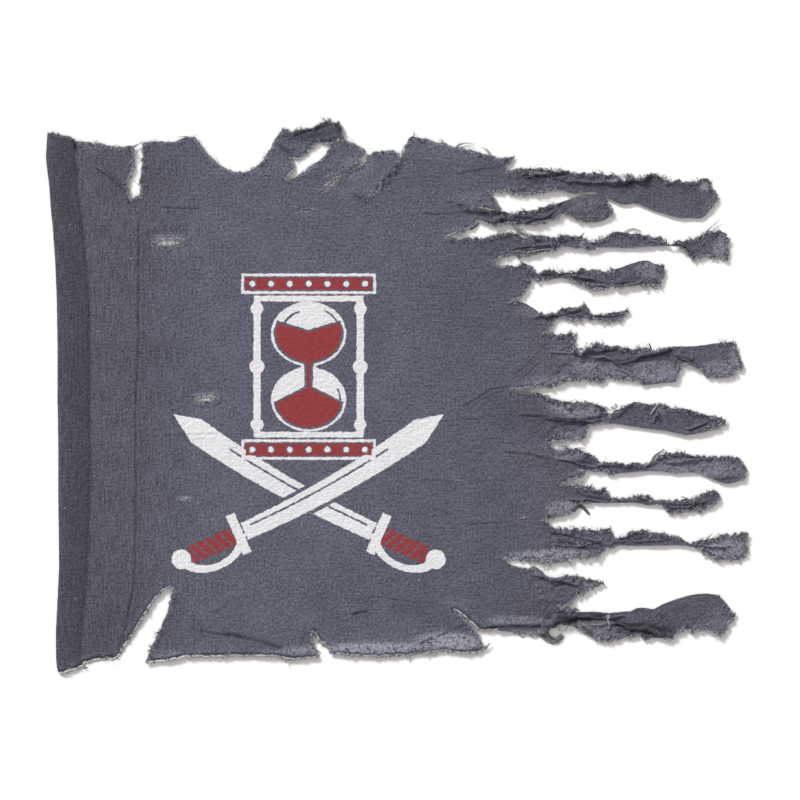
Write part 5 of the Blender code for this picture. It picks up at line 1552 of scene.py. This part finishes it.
white_glass = glass.most(3.0 - sand).most(0.0 - shine.least(shade_line))
white_glass = white_glass.least(abs(plate + 1.7) - 1.7).least(inner_plate)
white_glass = white_glass.least(posts).least(beads).least(studs.most(plate + 5.0))
red_glass = sand.least((plate + 5.4).most(1.6 - studs))
print("hourglass nodes:", len(cotton.tree.nodes))

# %% [markdown]
# A cutlass is drawn in its own directions, along the blade and across it.  The blade bows a
# little, so the way across is measured from a bent middle line.  The second cutlass is the first
# one mirrored, and stops short of it where they cross, so that one seems to lie on the other.

# %% The two cutlasses
TILT = math.radians(24.0)


def cutlass(across):
    """White, red and grip distances of a cutlass whose tip is to the upper right."""
    up = flat_y - CROSSING_Y
    along = across * math.cos(TILT) + up * math.sin(TILT)
    aside = up * math.cos(TILT) - across * math.sin(TILT)
    bow = (along + 92.0).most(0.0) / 300.0
    bent = aside - bow * bow * 34.0
    half_width = (11.5 + bow * 5.5).least((204.0 - along) * 0.45)
    blade = (abs(bent) - half_width).most(-90.0 - along)
    groove = (abs(bent - 4.5) - 1.3).most(abs(along - 20.0) - 100.0)
    blade = blade.most(0.0 - groove)
    guard = box(along + 98.0, aside, 6.0, 27.0)
    bow_guard = (abs(length((along + 136.0) / 40.0, aside / 27.0) - 1.0) * 28.0 - 4.4)
    bow_guard = bow_guard.most(aside + 2.0)
    pommel = length(along + 178.0, aside) - 12.5
    grip = box(along + 135.0, aside, 30.0, 11.5)
    wraps = abs(fraction((along + aside * 0.5) / 11.0) - 0.5) * 11.0 - 1.2
    return blade.least(guard).least(bow_guard).least(pommel), grip.most(0.0 - wraps), grip


near_white, near_red, near_grip = cutlass(flat_x - PRINT_X)
far_white, far_red, _ = cutlass(PRINT_X - flat_x)
clear = 5.0 - near_white.least(near_grip)
white_shape = white_glass.least(near_white).least(far_white.most(clear)) + wander
red_shape = red_glass.least(near_red).least(far_red.most(clear)) + wander
print("print nodes:", len(cotton.tree.nodes))

# %% [markdown]
# ## The weave and its colour
# The cloth is a plain weave of uneven yarn.  Up close it is a chequer of little humps.  From
# further away thick and thin yarn shows as short streaks, up and down near the hoist and across
# near the fly.  The slate dye has faded unevenly.

# %% Yarn, streaks and faded dye
SLATE = (0.0745, 0.0765, 0.1015)
BLUED = (0.0712, 0.0768, 0.1048)
slub_up = cotton.noise(place, 1.6, (1.0, 0.06), shift=3.0)
slub_across = cotton.noise(place, 1.6, (0.06, 1.0), shift=9.0)
speckle = cotton.noise(place, 2.8, detail=1.0, shift=17.0)
grain = cotton.noise(place, 3.4, detail=2.0, shift=31.0)
cloudy = cotton.noise(place, 26.0, detail=3.0, shift=5.0)
warmth = cotton.noise(place, 9.0, detail=3.0, shift=12.0)
upright = (flat_x + cloudy * 25.0).between(270.0, 130.0)
level = (flat_x + cloudy * 25.0).between(300.0, 480.0)
streaks = slub_up * (0.06 + upright * 0.24) + slub_across * (0.07 + level * 0.1)
edge_here, below_here = cotton.number("edge"), cotton.number("below")
# A painted highlight on the bank a few millimetres behind a lower edge, where the rolled cloth faces the
# light
roll = edge_here.between(4.5, 6.5) * edge_here.between(13.0, 7.5) * below_here
strength = cotton.number("tone") * (
    1.0 + streaks + speckle * 0.40 + grain * 0.15 + cloudy * 0.07)
blue_here = (flat_x + warmth * 30.0).between(120.0, 210.0)
blue_here = blue_here * (flat_x + warmth * 30.0).between(640.0, 540.0)
dye_and_highlight = cotton.mix(blue_here * (0.85 + warmth * 0.2), SLATE, BLUED)
# The dye is brightened there by that painted highlight
dye_and_highlight = cotton.scaled(dye_and_highlight, strength.most(0.25) * (1.0 + roll * 0.22))
print("nodes so far:", len(cotton.tree.nodes))

# %% [markdown]
# ## Wear, and painted light and shade
# Where threads are broken the cloth is covered with pale dusty fluff, and the rim of a lower edge is
# nearly white, partly from bleached ends and partly as painted light.  Creases, the wrinkles of the
# gathered strips and a thin line behind a rolled edge get painted shade, nearly black.  Each is mixed over
# the dye by its own share.

# %% Fluff, pale rim and painted shade
DUST = (0.295, 0.297, 0.35)
# Rim of a lower edge: bleached ends, with painted light for a rim lit against the shadow below
BLEACHED_AND_LIT_RIM = (0.53, 0.52, 0.53)
# Nearly black painted shade, for creases, wrinkles and the line behind a rolled edge
PAINTED_SHADE = (0.0085, 0.009, 0.013)
crease_here = cotton.number("crease")
tuft = cotton.noise(place, 3.2, detail=2.0, shift=40.0)
fluff = (cotton.number("worn") * (0.66 + tuft * 0.26 + speckle * 0.12)).most(
    edge_here.between(3.2, 0.0) * (0.5 + tuft * 0.5)).most(
    edge_here.between(7.0, 0.5) * (1.0 - below_here) * (0.36 + speckle * 0.12))
frayed = cotton.mix(fluff.between(0.05, 0.95), dye_and_highlight, DUST)
# The pale rim of a lower edge, partly bleached and partly painted light
pale_rim = edge_here.between(2.8, 1.8) * below_here * (0.75 + tuft * 0.3)
frayed = cotton.mix(pale_rim.between(0.1, 1.0), frayed, BLEACHED_AND_LIT_RIM)
# Painted shade in creases, in small wrinkles of the gathered strips, and in a line behind a rolled lower
# edge where the roll turns away from the light
wrinkle = abs(cotton.noise(place, 9.0, (0.55, 1.25), detail=2.0, shift=71.0))
wrinkle_shade = wrinkle.between(0.16, 0.0) * cotton.number("gathered") * (0.38 + tuft * 0.28)
roll_shade_line = edge_here.between(5.4, 4.2) * edge_here.between(2.2, 3.0) * below_here
shade_share = (crease_here * (0.85 + speckle * 0.15)).most(wrinkle_shade)
shade_share = shade_share.most(roll_shade_line * (0.5 + tuft * 0.3))
shaded_cloth = cotton.mix(shade_share.most(0.0).least(0.93), frayed, PAINTED_SHADE)
print("cloth nodes:", len(cotton.tree.nodes))

# %% [markdown]
# ## Ink over yarn
# The ink is thin.  It lies on the raised yarn and has worn from it, so the weave shows through,
# with small bare specks and a slightly broken rim.  Two Bump nodes give the yarn and the finest
# crinkles, which are too small for the mesh.

# %% Put the print on and finish the surface
INK_WHITE = (0.62, 0.62, 0.64)
INK_RED = (0.222, 0.024, 0.028)
INK_RIM = 0.55  # half the width over which the ink ends
PITCH = 0.72  # from yarn to yarn
bare = (speckle * 0.6 + tuft * 0.5).between(1.15, 1.9)
# The ink thins in creases, so their painted shade shows through the print
hold = 1.0 - bare * 0.7 - crease_here * 0.5
white_share, red_share = (shape.between(INK_RIM, -INK_RIM) * hold
                          for shape in (white_shape, red_shape))
ink_tone = 1.0 + speckle * 0.06 + grain * 0.04 + streaks * 0.3
printed = cotton.mix(white_share, shaded_cloth, cotton.scaled(INK_WHITE, ink_tone))
printed = cotton.mix(red_share, printed, cotton.scaled(INK_RED, ink_tone))
inked = white_share.most(red_share)
turn = 2.0 * math.pi / PITCH
chequer = (flat_x * turn).sine() * (flat_y * turn).sine()
relief = chequer * 0.5 + slub_up * 0.25 + slub_across * 0.25 + speckle * 0.3
woven = cotton.node("ShaderNodeBump", {}, {
    "Strength": 0.55, "Distance": 0.16 * MM, "Height": relief})
rumple = cotton.noise(place, 6.5, (1.0, 1.5), detail=3.0, shift=55.0)
rumpled = cotton.node("ShaderNodeBump", {}, {
    "Strength": 0.6, "Distance": 0.45 * MM, "Height": rumple, "Normal": woven})
cotton.put_on(cloth, {
    "Base Color": printed, "Normal": rumpled, "Sheen Weight": 0.12, "Sheen Roughness": 0.6,
    "Roughness": 0.93 - inked * 0.12 + speckle * 0.02, "Specular IOR Level": 0.25})
print("cotton has", len(cotton.tree.nodes), "nodes")

# %% [markdown]
# ## Loose threads have their own finish
# A single thread looks paler than the weave, because light goes round and through it.  Each thread keeps
# one random number, and the finish turns it into a shade from darker than slate, which is painted shade of
# threads shadowing each other in dense tufts, to undyed beige.

# %% Finish of the threads
fibre = Finish("loose_yarn")
pale = fibre.number("pale")
# The darkest yarn, darker than the dyed cloth, is painted shade of threads in dense tufts
shade = (0.036, 0.038, 0.05)
for low, high, next_shade in ((0.1, 0.45, (0.1, 0.103, 0.13)), (0.45, 0.7, (0.26, 0.26, 0.29)),
                              (0.7, 0.92, (0.5, 0.495, 0.52))):
    shade = fibre.mix(pale.between(low, high), shade, next_shade)
yarn_roughness = 0.9 - pale * 0.05
for threads in THREADS + [rungs]:
    fibre.put_on(threads, {
        "Base Color": shade, "Roughness": yarn_roughness, "Specular IOR Level": 0.2})
print("yarn has", len(fibre.tree.nodes), "nodes")

# %% [markdown]
# ## Floor, light and camera
# The flag lies on a plain white floor, seen from straight above through a long lens.  One soft
# sun from the upper left draws the creases and throws the short shadow to the lower right, and an
# even white sky fills it.

# %% The studio
FLOOR_SIZE = 60.0
LENS, SENSOR = 85.0, 36.0
VIEW_WIDTH = 1.024  # of the floor, from side to side of the view
AIM = (np.array((451.8, 353.3, 0.0)) + SHIFT) * MM
SUN_HEIGHT, SUN_SIDE = 27.0, 36.0  # over the horizon, left of the top
SKY = {"Color": (1.0, 0.957, 0.95, 1.0), "Strength": 0.63}

bpy.ops.mesh.primitive_plane_add(size=FLOOR_SIZE, location=(0.0, 0.0, 0.0))
floor = bpy.context.object
floor.name = "floor"
Finish("white_floor").put_on(floor, {
    "Base Color": (0.85, 0.85, 0.85, 1.0), "Roughness": 1.0, "Specular IOR Level": 0.0})

sun = bpy.data.lights.new("sun", "SUN")
sun.energy, sun.angle = 4.65, math.radians(12.0)
sun_lamp = bpy.data.objects.new("sun", sun)
low, side = math.radians(SUN_HEIGHT), math.radians(SUN_SIDE)
towards = Vector((math.sin(side) * math.cos(low), -math.cos(side) * math.cos(low),
                  -math.sin(low)))
sun_lamp.rotation_euler = towards.to_track_quat("-Z", "Y").to_euler()

world = bpy.data.worlds.new("sky")
world.use_nodes = True
for name, value in SKY.items():
    world.node_tree.nodes["Background"].inputs[name].default_value = value
bpy.context.scene.world = world
bpy.context.scene.view_settings.view_transform = "Standard"

lens = bpy.data.cameras.new("camera")
lens.lens, lens.sensor_width = LENS, SENSOR
camera = bpy.data.objects.new("camera", lens)
camera.location = (AIM[0], AIM[1], VIEW_WIDTH * LENS / SENSOR)
for thing in (sun_lamp, camera):
    bpy.context.scene.collection.objects.link(thing)
bpy.context.scene.camera = camera
print("camera", [round(value, 3) for value in camera.location])
